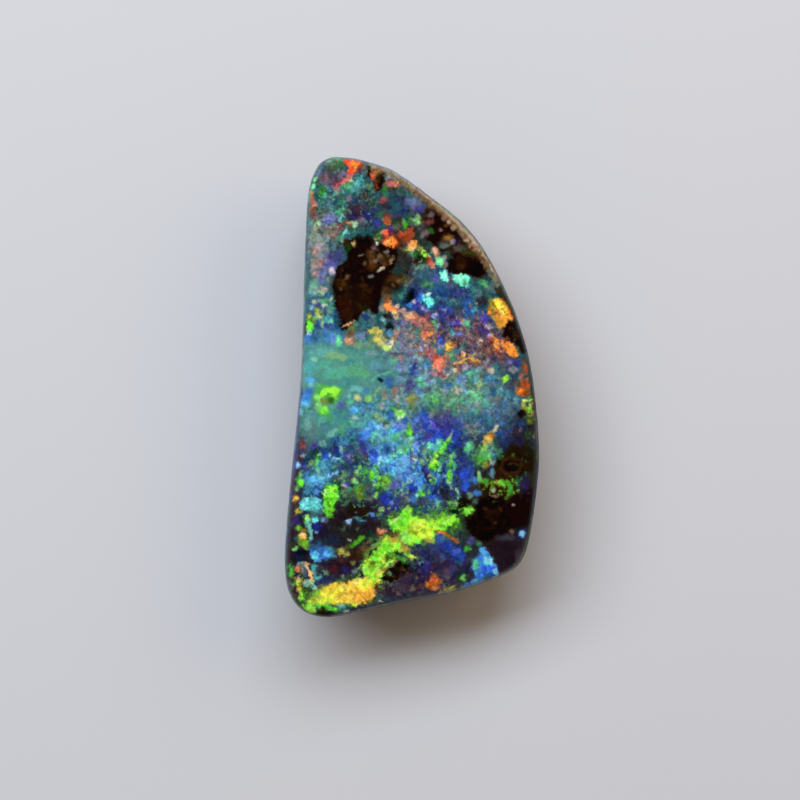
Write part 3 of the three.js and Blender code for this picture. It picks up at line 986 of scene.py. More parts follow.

# Middle of the face
# Painted highlight: a small lilac-white glint
CENTRE = """
b mnt- 435.5 324 3.3 4.3 0 0.95
b tgr++ 438.6 325 1.4 1.8 0 0.8
b lav+ 435 316 2.2 1.5
b nav 442 322 3.6 4 0 0.7
b div+ 448 323 2.6 3.4 0 0.6
b vio 455 324 4.8 3.8 0 0.85
b vio+ 453.6 322.6 1.8 1.3 0 0.6
b sea 466 325 2.3 4.3 -20 0.95
b grt++ 462 323 1.3 2.8 -30 0.85
b cyn- 452 333 2.8 1.9 0 0.95
b deb+ 459 334.4 3 2 0 0.9
b lav-- 446 335 3.6 3 0 0.6
b roy 440 342 4.2 4.4 0 0.85
b blu+ 440 347 2 1.8
b gol 449 346 3.8 4 0 1 0.4
b amb+ 449 344 1.8 1.6 0 0.6
b org- 453.6 345 1.6 3 0 0.6
b mau 477 317 4 3 0 0.7
b mau- 475 325 4 6.6 0 0.75
b vio 484 318 3.6 5.6 0 0.85
b vio- 483 330.5 4.6 3.6 0 0.8
b lil 488 327 1.7 2.3 -30 0.95
b lav+ 489 336 2.8 1.4 0 0.9
b mau- 484 338 3 2.4 0 0.6
b lim 480 340 1.5 1.4 0 0.95
b pea-- 476 338 2.6 2.6 0 0.6
b lil-- 470 344 3.8 3.4 0 0.8
b dpk 467.6 336.4 1.6 2.4 0 0.7
b ltl-- 463 345 2.4 4.6 0 0.8
b sal-- 457 341 2 3.6 0 0.6
P ibk 1.0 0.95 506,321 511,317.5 515,321 519,330 522,341 524.5,350 521.5,354 517,348 512,342 505,340 500,337 503,330
B brn- 515 334 2 4 -20 0.5
p org 1.1 1 489.5,303 493,299.5 498,298.5 502,300.5 506.5,307 511,316.5 507,321 502.5,329 499,330 495,325 490,316 487,310
b yel 495 304.5 5 4.4 0 0.95
b gol 500 312 4 4 0 0.6
l yel 2.6 1.4 0.85 493,303 501,309 509,318
l amb- 1.6 1.2 0.7 491,311 495,318 500,326
l ora- 1.3 0.8 0.9 501.5,300 507.5,308.5 511.3,317
b amb+ 493.4 318 2 2.6 0 0.7
b gol 502 321 2.6 3 0 0.6
b yel- 499 327.4 2 2 0 0.6
b yol 497 345 2 2.4 0 0.8
b org 494.4 341.6 2.8 4.6 -12 0.95
b cor- 490 341 2 3.4 0 0.6
p org 1.1 1 501,341.5 505,341 511,344 516,350 518,355.5 513,357 507,354 503,349
b amb 508 348 3.6 2.6 35 0.95
b org- 514 354 2 2.6 0 0.6
b ros-- 493 352.6 4.6 3 0 0.85
b pea-- 486.6 350.6 2.8 2.6 0 0.75
b ros 487 347.6 1.6 1.2 0 0.6
b sal- 497 353 2.4 1.8 0 0.8
b sag-- 517 349.4 1.3 2.6 -20 0.8
b sal-- 501 357 4 2 10 0.6
b ind+ 508 362 3.4 2 0 0.85
b ind 515.4 363 3.6 3.6 0 0.85
b slt+ 512 369.4 4.8 2 0 0.85
b slt 503 368 3.4 4 0 0.6
b rus 524.6 368.6 2.6 4.6 -8 0.95
b sal-- 522 361 2 3 0 0.6
b sal- 519.6 376 1.6 3 0 0.85
b rus 524.8 384 4 4.6 -5 1
b ora- 520.6 390.6 4.6 3.8 0 1
b ora 519.4 390 2.2 1.8 0 0.7
b ora-- 526 393 3 3 0 0.8
b sie- 516 383 2.6 3 0 0.7
b lem+ 523.6 400.8 2.8 1.5 0 0.95
b yol 522 405.6 2.2 3 0 0.95
b lgr- 526.6 409.6 2.8 3.6 0 0.95
b yol+ 529 406 1.6 2 0 0.9
b lem- 529.6 414.6 2 2.6 0 0.9
b lgr-- 526 416.6 2 3 0 0.7
b lem- 528.4 421 2.6 1.9 0 0.85
b blk 521 413.6 3.6 3.8 0 0.95
b cof- 533 400 2.6 12 -4 0.8
b ste 515 400 2.4 3.8 0 0.9
b sky-- 510 394 3 3.6 0 0.7
b lgr 504 378.6 3.8 2.4 0 1 0.4
b sag- 499 377 2 2 0 0.6
b tan+ 490 370.4 3.2 3.6 0 0.9
b cyn-- 495 366.4 2.8 4.6 0 0.85
b mar++ 483 366 2.8 2.4 0 0.6
b sky- 488 379 3.8 3.6 0 0.85
b ste 500 388 3.6 5.4 0 0.85
b sky-- 492 390 3 4 0 0.7
b slt- 508 384 4 5 0 0.7
b ros 428 352 3.8 3.2 0 0.95
b crm++ 430 355.6 2 1.8 0 0.85
b cor- 434.4 358.6 2.8 3.2 0 0.9
b mau- 424 357 2.6 2.4 0 0.7
p red+ 1.1 1 431.6,362.5 435,358.5 440,356.6 445.4,360 446,365 442,369 439,373 435,369.6 431.6,366
b cor+ 437 364.4 3.2 2.8 0 0.85
b ora+ 441 361 2 1.6 0 0.6
b cor- 441.4 368.4 2 2 0 0.6
b pea- 446.6 357 2.4 3.8 30 0.85
b ros- 440 375.4 3.8 2.8 0 0.8
b win++ 443.6 372 1.9 1.8 0 0.85
b crm+ 434.6 373.6 2 2.6 0 0.7
l sie++ 1.2 0.8 0.85 449,373 446,376.4 443,379
l gol 1.3 0.9 0.9 455,363.4 459,363 464,360 469,358.5 473,360 477,362
b gol 461 362.6 1.9 1.2 0 0.9
l sal- 1.4 1 0.8 471,362 475,364.6 479,362.4
b ros- 466 363.4 3.4 2 -20 0.7
b rus+ 469 355.6 2.2 1.3 0 0.7
b pea 462 353.6 1.8 1.7 0 0.95
b amb- 461 357 2 1.6 0 0.75
b olv++ 453 370 2.2 1.9 0 0.9
b sal- 456.6 367 1.8 3.6 0 0.75
b mnt- 451.4 355 2.8 4.4 0 0.9
b sky- 456 351.4 2.6 2.6 0 0.85
b cyn-- 440 351.6 3.6 3 0 0.85
b lav++ 420 350 1.6 1.5
b slt+ 412 346 4.4 5 0 0.7
b tea+ 421 360 2.8 3.2 0 0.85
b sky- 426.4 364 3.6 3.4 0 0.8
b ltl 421 379 4.3 2.4 0 0.9
b sea 420 383 4.2 3.4 0 0.85
b ltl 426.4 384.4 1.6 1.6 0 0.85
b ind 415 366 2.8 3.8 0 0.85
b roy- 412 372 2.8 3 0 0.8
l ste+ 1.3 0.9 0.8 423,375 425,371 426.4,368
b deb++ 430.6 381 2 1.7 0 0.85
b blu- 446 385 4.4 2.8 0 0.8
b deb+ 461 379 4 3.4 0 0.8
l blu+ 1.5 1 0.85 456,380 461,385.6 465,392
b ltl 468 390.4 2.8 1.5 0 0.95
b min- 470 372.6 3.8 3.2 0 0.9
b cyn- 474 379.4 2.6 2.8 0 0.85
b lav+ 465 368 2.8 2.6 0 0.75
b lsk- 477 371 3 2.4 0 0.6
b mnt- 475 395.4 6 4 0 0.8
b mnt 473 394 2 1.6 0 0.8
b min- 479 397.4 1.6 1.4 0 0.8
b olv+ 478 385 2.2 3.2 0 0.8
b gre 455 389.6 3.6 3.2 0 0.7
b nav++ 444 390 3.6 3.4 0 0.6
b mnt- 433 397.4 4.6 2.8 0 0.9
b sea+ 452 401 4 2.4 0 0.6
b bgr++ 462 408 4 2.6 0 0.5
b lsk- 471 409 3.4 2.4 0 0.6
b brn+ 448 408 3 2 0 0.5
b min- 485 403 2.6 2.6 0 0.6
b nav+ 490 411 4 3 0 0.6
b ros- 497 399 2.2 2.4 0 0.5
"""

# Milky teal field
MILKY = """
p ltl- 6 0.7 303,345 340,346 366,352 392,362 400,380 384,398 352,400 330,412 312,430 300,430
b ltl 322 352 12 4 -8 0.4
b cyn- 310 366 7 9 0 0.6
b tea 306 356 3.4 6 0 0.6
b min- 337 373 12 6 -10 0.6
b mnt- 357 370 8 5.6 0 0.6
b tea 346 383 10 4.6 -15 0.6
b min- 325 365 8 3.4 -20 0.5
b sea+ 315 358.6 2.8 1.9 0 0.8
b sag 333 355.4 7 3 -5 0.7
b sag 343 357.4 5 2.6 0 0.7
b tea 350 362 5 2.4 0 0.6
b mnt- 365 374 4.6 2.8 -20 0.8
b lsk- 375 366 6 4 -20 0.6
b lsk-- 384 372 5 3.4 0 0.6
l min- 1.2 0.9 0.8 372,380 380,375 390,372
b dnv- 380.5 379.6 2.5 1.3 35 0.95
b blu- 389 382 3.6 5.2 0 0.8
p gms 1.6 0.7 318,384 330,384.6 344,387 342,393 338,401 331,402 322,402 314,400 316,391
p lgr 1.1 0.95 325,387.6 331,387 337,386.4 341,388.6 339,392.6 336,397.6 331.5,397 327.6,394.6 321,398 319.4,396 321,392.6
b lgr 332 390.4 4 1.7 -10 0.7
b grn+ 318.4 397 3.3 2.4 0 0.85
b yol- 326 400.4 4.4 2.8 0 0.8
b gms-- 332 398.4 2.6 2.4 0 0.8
b gms- 330 393.8 2 1 0 0.6
b grn 325.4 410 4.2 5 0 0.9
b grn+ 326 407.6 2 2 0 0.6
b gms+ 319.4 406 2.6 4.4 0 0.85
b gms 330 416 3.6 3 0 0.6
b mnt- 336 405 3.4 4 0 0.5
b blu 307 396.4 4.4 3.6 0 0.95
b sky 305.4 402.4 3.4 3.2 0 0.9
b roy 310 390 3 3 0 0.7
b sky+ 301.6 411 1.5 2.6 0 0.8
b deb-- 301 391 1.8 5 0 0.8
b sky 311 380 3.8 2.8 0 0.9
b ltl 311.6 384.4 2.6 1.8 0 0.75
b per- 342 404.4 3.6 2.8 0 0.8
b sky 355 409 4.3 2.4 0 0.95
b yol+ 358 397 2.7 2.8 0 0.95
b ltl 355 388.4 2.6 2 0 0.8
b ltl 361 389.4 2.6 2 0 0.8
b sky- 366.6 390.4 3.6 2.8 0 0.8
b ltl 350 395 1.3 3.6 0 0.7
b gms+ 369 398.6 3.3 2.8 0 0.95
l sag 1.2 0.9 0.8 371,397 376,392 380,388
b min- 351 402.4 2.8 2.4 0 0.8
b brn+ 384.5 394 2 4.3 0 0.7
b dpk- 391.4 398 2.4 2.4 0 0.6
b brn+ 395 390.6 2.8 3.8 0 0.75
b rus++ 396 388.6 1.4 1.4 0 0.6
b plm++ 396 398.4 2.8 2.4 0 0.7
b lil-- 399 385 2.8 2.4 0 0.6
b dgr++ 402 388.4 2 1.8 0 0.8
b per-- 410 385 3.6 5.4 0 0.75
b ste 405 378 3 3 0 0.6
b lav 402 367 3.4 3 0 0.6
b min- 394 362 3.6 2.6 0 0.6
b pea- 400 357 2.6 2 0 0.6
b grn+ 399 412 4.2 3.3 0 1 0.4
b grn++ 400.4 416.8 1.9 1.7 0 0.85
b gms 394 408 2.6 2.6 0 0.6
b olv 411.4 398.6 3.6 5.4 0 0.8
b yol 410 396.6 1.8 2 0 0.6
b sag- 412 408 3.4 3.4 0 0.7
b pea-- 417 397 2.4 3 0 0.6
b gry+ 383 405 2.8 2.8 0 0.6
b lsk- 388 404 2.8 3.6 0 0.8
l sag 2 1.4 0.85 375,413 380,417 384,421
b dgy 385.4 422 2.6 1.8 0 0.7
b dgr++ 386.5 426.6 1.9 2.6 0 0.8
b blu- 391 414.6 3.6 4.4 0 0.8
b sky- 362 405 3.4 3 0 0.7
b sky- 373 406 3 3 0 0.7
b tgr++ 356 416.6 3 1.8 0 0.7
b cyn- 365 423.6 5.4 2.8 -10 0.8
b cyn- 368 416.4 2.8 3.4 0 0.8
b blu 370 429 7 4.8 0 0.85
b sky 373 422 2.8 1.9 0 0.85
b lsk 368 428 2.6 1.5 -20 0.6
b roy+ 398 424.4 4.6 2.8 0 0.9
b sky 392 430.6 4.6 2.8 0 0.9
b roy 397.4 428 2.4 1.8 0 0.8
b roy- 404 420 3 3 0 0.7
b grn 409.6 430 2.7 5.6 0 1 0.4
b mnt 410.4 437 2.4 2.2 0 0.95
b mnt-- 404.6 434 2.4 2.6 0 0.7
b sky 414 421 3.6 2.6 0 0.9
p roy- 1.1 0.95 421,407 424,412 430,420 437,430 436,434 428,430 422,424 419,416
b deb+ 424.4 419 1.6 3.4 -35 0.6
l per 1.4 0.9 0.9 429,420 433,424.6 437,430
b roy 437 433 2.6 2.6 0 0.9
b vio 426.6 437 2.7 4.2 -20 0.85
b ltl 422 395 2.6 2.4 0 0.85
b mnt- 430 398 5.4 3.2 0 0.85
b min-- 433 405 5 4.4 0 0.75
b lgr- 436 401 2 1.6 0 0.6
b dgr+ 433 412.6 2.8 2.6 0 0.7
b pcy-- 313 430 7 10 0 0.55
b tea+ 309 422 3 5 0 0.6
b ltl- 329 424 10 9 0 0.45
b min- 322 420 5 2.4 -30 0.5
b sea+ 333 432 6 2.4 -35 0.5
b mnt- 343 428 4.6 5.4 0 0.6
b sky- 345 441 6.4 4.8 0 0.7
b tea 353 439 4 4.6 0 0.6
b blu- 336 440 4 3.4 0 0.6
b mnt- 352 424 3 3.4 0 0.6
b blu 365 436 2.8 6 0 0.8
b min- 374 437.4 1.8 6.4 0 0.85
b ltl 377.6 431.4 2.3 2.8 0 0.9
b min- 384 437.6 2.6 2.8 0 0.85
b blu- 386 447 2.4 3.4 0 0.85
b vio 366 449 3.6 2.8 0 0.85
b sky+ 380 425.6 2 1.6 0 0.7
"""

# Lower west part
LOW_WEST = """
b slt 312 441 4 3 0 0.6
b ros- 303.6 444.4 3.2 3 -40 0.8
b vio- 315.5 445.6 3.7 4.4 0 0.85
b tgr+ 323.5 442 3.3 2.8 0 0.85
b mau- 308 450 3 3 0 0.7
b win++ 303.4 454.4 1.8 1.7
b sky+ 297.6 464.5 2.3 2.8 0 0.9
b ind 305 466 3.6 4.2 0 0.85
b dgr-- 317 455 4 5 0 0.8
b yel-- 312.4 462 2.7 2.6 0 0.85
b gms 318.5 463 2.7 7.4 0 1 0.4
b grn 319 460 1.5 2.8 0 0.8
b gms+ 318.2 470.6 1.8 3.2 0 0.85
b gms+ 321 453 1.6 1.6 0 0.85
b roy-- 325 450 3 3.4 0 0.7
b gms 301 479 2.8 8 10 0.95
b gms-- 299.6 474 1.9 2.4 0 0.8
b grn 301.4 481 2.2 3.6 0 0.85
b sag 302.4 472 2 1.8 0 0.8
b sag 297.4 487.4 1.8 2 0 0.75
b dnv 307 459 2.4 2.6 0 0.6
b mau-- 309 469 2.4 2.6 0 0.6
b blu 309.4 477 3.3 4.4 0 0.9
b sky 316.4 477.4 4.4 3.6 0 1
b sky 326 477.6 5.6 3.8 0 1
b cyn+ 324 476 2.8 1.5 -10 0.6
l lsk 2.4 1.3 0.95 331,473.6 334,471.4 336.4,470
b sky 320 483 5.4 2.7 0 0.9
b blu- 330.6 468.6 3 2.6 0 0.8
b roy 327 457 2.8 3.8 0 0.9
b nav 325 466 3 3 0 0.7
l sky+ 1.4 0.9 0.95 331,453 333,457 337,458.5 341,456.5 343,453
b deb- 337 451.6 2.3 3.2 0 0.85
b blu 342.6 454.6 1.6 2.6 0 0.85
b pcy- 342.4 447 2.4 2 0 0.8
b blu- 331 463 7 4.6 0 0.6
b per-- 347.6 457 3.6 2.8 0 0.8
l ind++ 1 0.7 0.7 349,456 352,457 354,459
b grt- 356.4 456 2.8 2.6 0 0.7
b mau-- 366 457 2.8 3.8 0 0.8
b roy 373 453.4 2.8 3.8 0 0.9
b slt-- 361 463 3.4 3.4 0 0.7
b gms+ 357.6 468.6 2.6 3.4 40 0.95
l sea+ 1.6 1 0.85 344,478 346.6,475 349,472
b blu-- 340 465 4 3.4 0 0.7
l psg- 1.1 0.8 0.75 338,480 342,475 345,470
b slt- 351 475 4 3 0 0.7
b gms+ 355.6 480 2.9 2.4 0 0.9
b vio 347 482.6 2.8 2.6 0 0.85
b tan+ 344.6 484 1.8 1.7 0 0.9
b dgr+ 345 491 3 2.8 0 0.75
b sag-- 352 489 3.4 3.4 0 0.7
b lem-- 362 495 3.6 3.4 0 0.85
b lgr-- 361 488.6 2.8 2.7 0 0.85
b lgr- 358.6 492 1.4 1.6 0 0.7
b lim-- 367.6 486 2.4 2.6 0 0.7
b cof+ 370.6 497 2.6 2.4 0 0.7
b nav- 366 476 4 3.4 0 0.7
b gms 366 470 2.6 2.4 0 0.7
p dgr- 2 0.5 326,478 340,478 343,490 340,505 334,519 326,516 321,500
p grn 1.1 1 331,480 336,480.4 339,486 338.5,492 337.6,497 336,499 335,505 334,511 331.4,516 328.4,516 325.4,512 323.8,505 323.4,497 324.4,490 327.4,484
l grn++ 1.3 0.9 0.9 325.4,492 326,489 327.6,486
b lgr 332 487.6 3.2 4.6 0 0.7
b grn- 331 499 3 2.2 0 0.5
b lgr 329.6 507 2.4 3.4 0 0.6
l gms+ 1.2 0.9 0.85 338,492 340.4,497 343.4,501
b blu- 312 489 6.4 3.6 0 0.8
b per-- 308 485.4 2.8 2.4 0 0.7
b sky 317 490 3 2 0 0.7
p cyn 1.0 1 302,498 306,496 311,494.5 317,496 321,498 321,507 316,508 309,507.5 304,509.5 302,505
b cyn+ 305.4 501 2.7 3.6 0 0.85
b cyn 316 502 3.6 3.4 0 0.8
b cyn+ 312 498 3.6 1.5 5 0.6
l dte 0.9 0.7 0.5 310.6,495 311,501 310.4,507
l dnv- 1.5 0.9 0.95 304,511.6 309,510 315,512
b gol 297 497 2.6 3.2 0 0.9
b brn- 297.4 504 2.4 3.8 0 0.85
b yol 299.4 510 3.2 1.6 0 0.9
b grn+ 308 517 2.7 4 0 0.9
b cyn 316 517 3.4 2.8 0 1 0.4
b blu+ 325 517.4 2.8 1.3 30 0.9
b vio- 297 519 2.7 3.8 0 0.8
b dnv 302.6 516 2 2.2 0 0.8
l ltl 2 1.2 0.95 309,520 311,528 312.4,537
b lgr- 299.6 525.4 2.6 2.6 0 0.85
b yel-- 304.6 529 2.6 2.4 0 0.8
b deb- 319 525 4.4 4.2 0 0.9
b blu+ 318.5 530 1.5 1.4 0 0.85
b div- 325 530 5 5 0 0.8
"""

# Dark lower west with cold sparks
DARK_WEST = """
b dpl- 352 519 21 14 8 0.9
b dgy-- 348 534 22 12 0 0.8
B cof-- 360 508 14 6 -12 0.7
b slt- 349.5 519.6 4 3.6 0 0.7
b blu++ 349.5 519.5 2.3 1.8
b dte- 360 518 6 3 10 0.7
l ste 1.2 0.8 0.85 355,515 360,517.5 366,518
b roy-- 373 513 3.6 3.4 0 0.8
b blu+ 373 513 2 1.8
b dgy-- 338 525 5 3 0 0.5
b tan-- 343 508 2 1.4 0 0.5
b sag-- 344 526 2.4 1.4 -20 0.6
b psg-- 357 526.4 1.8 1.2 0 0.6
b nav- 334 538 5 3.4 0 0.6
b sie- 365 545 3 2 0 0.5
b gol 303 535.6 3.4 3.6 0 1 0.4
b gol++ 303 532.6 1.9 1.6
b lgr- 305.4 542 4.4 3.2 0 0.95
b gms+ 297 546.5 2.5 1.8 0 0.85
b sea-- 298 538 2 3 0 0.7
p blu 1.5 0.9 311,546.6 322,545.6 333,546.6 336,550.6 330,556 318,557.6 311,554.6
b cyn 315 552.6 3.6 3.2 0 0.95
b blu- 322 549.6 3.3 3 0 0.8
b sky 328.4 551 3.3 2.8 0 0.9
b cyn-- 333.6 547.6 3.4 3.2 0 0.7
b cyn- 334.6 555 2.8 2 0 0.8
b sky 318 557.4 2.8 1.9 0 0.85
b dte-- 325 541 8 3 -5 0.6
b dnv-- 303 551.4 5 3.4 0 0.9
b nav-- 298 557.4 3 3 0 0.8
b dpl- 340 562 14 7 0 0.7
b cof- 360 552 9 5 0 0.8
b dtg- 371 534.6 2.7 6 0 0.8
p sal 0.8 0.95 377,529.5 383,527.6 388,526.5 386,530 382,532 379,531
l grn- 2.3 1.4 0.9 352,544 357,540 363,535.5
b mau++ 350.5 537 1.1 1 0 0.9
b yol 342 548.4 3.2 2.9 0 0.95
b yol 346.6 551.6 1.9 1.3 0 0.85
b olv- 347 546 3.4 2.4 -30 0.6
b ltl+ 302 563 4.2 2.4 0 0.9
b grt-- 305 569 8 8 0 0.6
b sal 298.4 566.4 1.8 2.8 0 0.9
l cof++ 1.3 0.8 0.85 302.6,566 303.4,569 304,572
l lsk-- 1.3 0.8 0.85 305.6,564.6 306,569 306.4,573
b olv+ 308.6 563 2 1.8 0 0.8
l pea 1.6 0.9 0.95 308.4,562 310,567 311.6,573 312.4,578.4
b org+ 311.8 572 1.4 3.4 0 0.85
b grn++ 313.2 580.4 1.6 2.7 0 0.95
b ltl+ 308 580.6 2.7 3.2 0 0.9
b mau++ 299.4 574.6 1.6 1.6
b dpl 303 575 3 3 0 0.7
b org+ 298.8 579.4 2.1 2.8 0 0.95
b gol 301.4 586 2.4 3.6 0 0.95
b lgr 303.2 593.4 2.6 4.6 0 1
b gms 291.8 569 2.9 5.2 0 0.9
b ibk+ 291.4 584 2.6 5.4 0 0.7
b sie- 294.6 594 2.6 3 0 0.7
b sie-- 307 589 3 5 0 0.8
l cyn- 1.7 1 0.9 314.5,562 316,570 318,578
b ltl 321 575 2 2.4 0 0.8
b lsk 316.2 585 1.8 2.1 0 0.9
b tea-- 312 590.4 3 2.4 0 0.8
b dgr+ 327 570 2.2 2.2 0 0.85
b slt- 320 566 3.6 4 0 0.7
b win- 335 567 3.3 3.6 0 0.8
b ros-- 342 557 3 2.8 0 0.7
b vio-- 345.4 567 3.8 3.4 0 0.8
b yol- 354 560.4 2.4 1.8 0 0.8
b dte+ 355 569 3.3 2.4 0 0.85
b bgr++ 343 573.4 1.3 1.2 0 0.8
b ind- 326 579 8 3.6 0 0.75
l lim-- 1.1 0.8 0.75 340,579 345,576 350,573
b blk+ 364 563 2 2 0 0.6
"""

# Blue and green strokes
STROKES = """
b sea 396 436.4 5.4 3.2 0 0.9
l grn+ 1.4 0.9 0.9 410,440 411.6,444 413,448
f ind,dnv,vio-,nav 425 470 44 30 3.0 0.34 0.5 62 2.2
f sky,blu,cyn-,lsk 405 462 40 28 2.4 0.2 0.55 62 2.6
f grn,gms,lgr,tgr 412 470 50 30 2.0 0.15 0.6 62 2.0
f nav,roy,deb,ind 445 455 26 32 2.8 0.3 0.5 70 2.2
b sea 403 446.6 5.4 5 0 0.8
b mnt 402 451.4 4.6 2 20 0.9
b roy+ 416 446 2 7 0 0.95
b roy- 420 440 3 4 0 0.7
b roy 376 455.6 3.7 4.4 0 0.9
b lsk 383 457 4.6 3.2 0 1
b cyn 391 459.6 4.6 2.4 0 1
b mnt 393.4 455.4 2.7 2.2 0 0.9
b roy 394 464 2.8 2.4 0 0.9
b per 404 459.6 3.8 2.8 0 0.95
b cyn 402.4 466.4 3 2.4 0 0.95
b cyn 393 471.4 4.3 1.9 0 0.95
b roy 386 468 4 3 0 0.8
b sag+ 413 457 2.7 3.6 0 0.85
b sky-- 420 453 3 3.4 0 0.6
l psg- 1.9 1.2 0.8 427,447 424,452 421,460
b roy 433 438 3.6 2.8 0 0.9
b cyn 437 442 3.4 3 0 1 0.4
b cyn 433.6 446 2.8 2.4 0 0.95
b min 429.6 444 2 2 0 0.9
b roy- 442 437 3 2.6 0 0.7
b gms++ 449.4 435.4 1.4 2.8 20 0.85
b dgr 441 452 6 8 35 0.6
l grn 2.3 1.2 0.95 448,438 443,446 437,456 433,463
l lgr 1.4 0.9 0.95 436,455 434.6,458 433,461
b lem 432.4 462 2.8 2.4 0 0.95
b grn 433.4 464.6 4.8 3.8 0 0.95
b mnt 438 466.4 2 1.9 0 0.9
l gms+ 1.4 0.9 0.85 424,462 427,458 430,455
p lsk 0.8 1 436,471 440,471 444.5,475 442,479 439,476
b blu 436 474.6 2 2 0 0.8
b grn 432.6 479.4 2.7 2.6 0 0.95
b sea- 430 474 2 3 0 0.7
l ind- 2.8 1.5 0.8 423,465 426,475 428,485
b roy 432.4 489 2.7 4.6 0 0.85
b roy 430 495.6 3 2.6 0 0.85
b sky 434.6 499.4 3.6 2.6 0 0.9
b blu+ 437.4 502.4 2.4 1.9 40 0.9
b ltl 451 454.6 3.3 2.4 0 0.95
b mnt+ 448 460 1.9 1.8 0 0.85
b sea 452 464.4 3.8 3.8 0 0.9
b nav 445 468 3 3.4 0 0.7
b grn 448.6 474.6 2.3 5.2 0 0.95
b grn+ 449 479.6 1.8 1.8 0 0.85
b gms++ 449.6 485 2.4 1.3 0 0.85
l mnt+ 1.4 0.9 0.95 456,488 457,492.6 458,497
b gms++ 455.4 500.4 1.8 1.7 0 0.9
b grn 449.6 502.4 2.4 2.3 0 0.9
f dnv,ind,blk,nav 440 478 30 28 2.4 0.3 0.6 60 1.6
f lgr,sky,ltl,grn 428 462 34 28 1.9 0.09 0.55 50 1.5
f grn,lgr,pea,sky 405 484 44 18 2 0.09 0.55 60 1.4
b deb- 455.4 445 3.6 3.6 0 0.8
b dgy-- 444.6 492 3.4 5 0 0.85
b grn 372.4 473 2.7 4.6 0 0.95
b gms+ 375 482 2.3 2.3 0 0.9
b grn+ 376 492.6 2 2.8 45 0.9
b dgr 379 487 3 3.4 0 0.7
b lgr- 386 478.6 5 5 0 0.85
b gms+ 387 485 3 2.6 0 0.85
b gms- 391 474.6 2.6 1.8 0 0.6
l blu+ 1.3 0.9 0.85 379,464 377,472 376,479
l per- 3.6 1.8 0.8 400,474 397,479 394,484
b roy 405 473.6 3.6 4.6 0 0.9
b sky 414 475.6 4.6 6.6 0 0.95
b lsk+ 410 478 2.4 2 0 0.9
b sky 418.4 482.6 3.6 6 0 0.95
b cyn 418.4 489.4 2.4 2.2 0 0.85
b cyn+ 415 472.6 2.2 2.4 0 0.6
p deb 0.9 0.95 408,482 412,480 415,485 417,490 411,491 408,488
l sea+ 1.5 0.9 0.9 402,487.4 404,482 409,480
b grn 421 491.4 2.8 2.7 0 0.95
b mnt 416 495 1.8 3 30 0.85
b blu 413 498 2.7 3 0 0.8
b dgr++ 407 497.6 2.4 2.2 0 0.8
b ind 424 470 3 3.4 0 0.6
"""
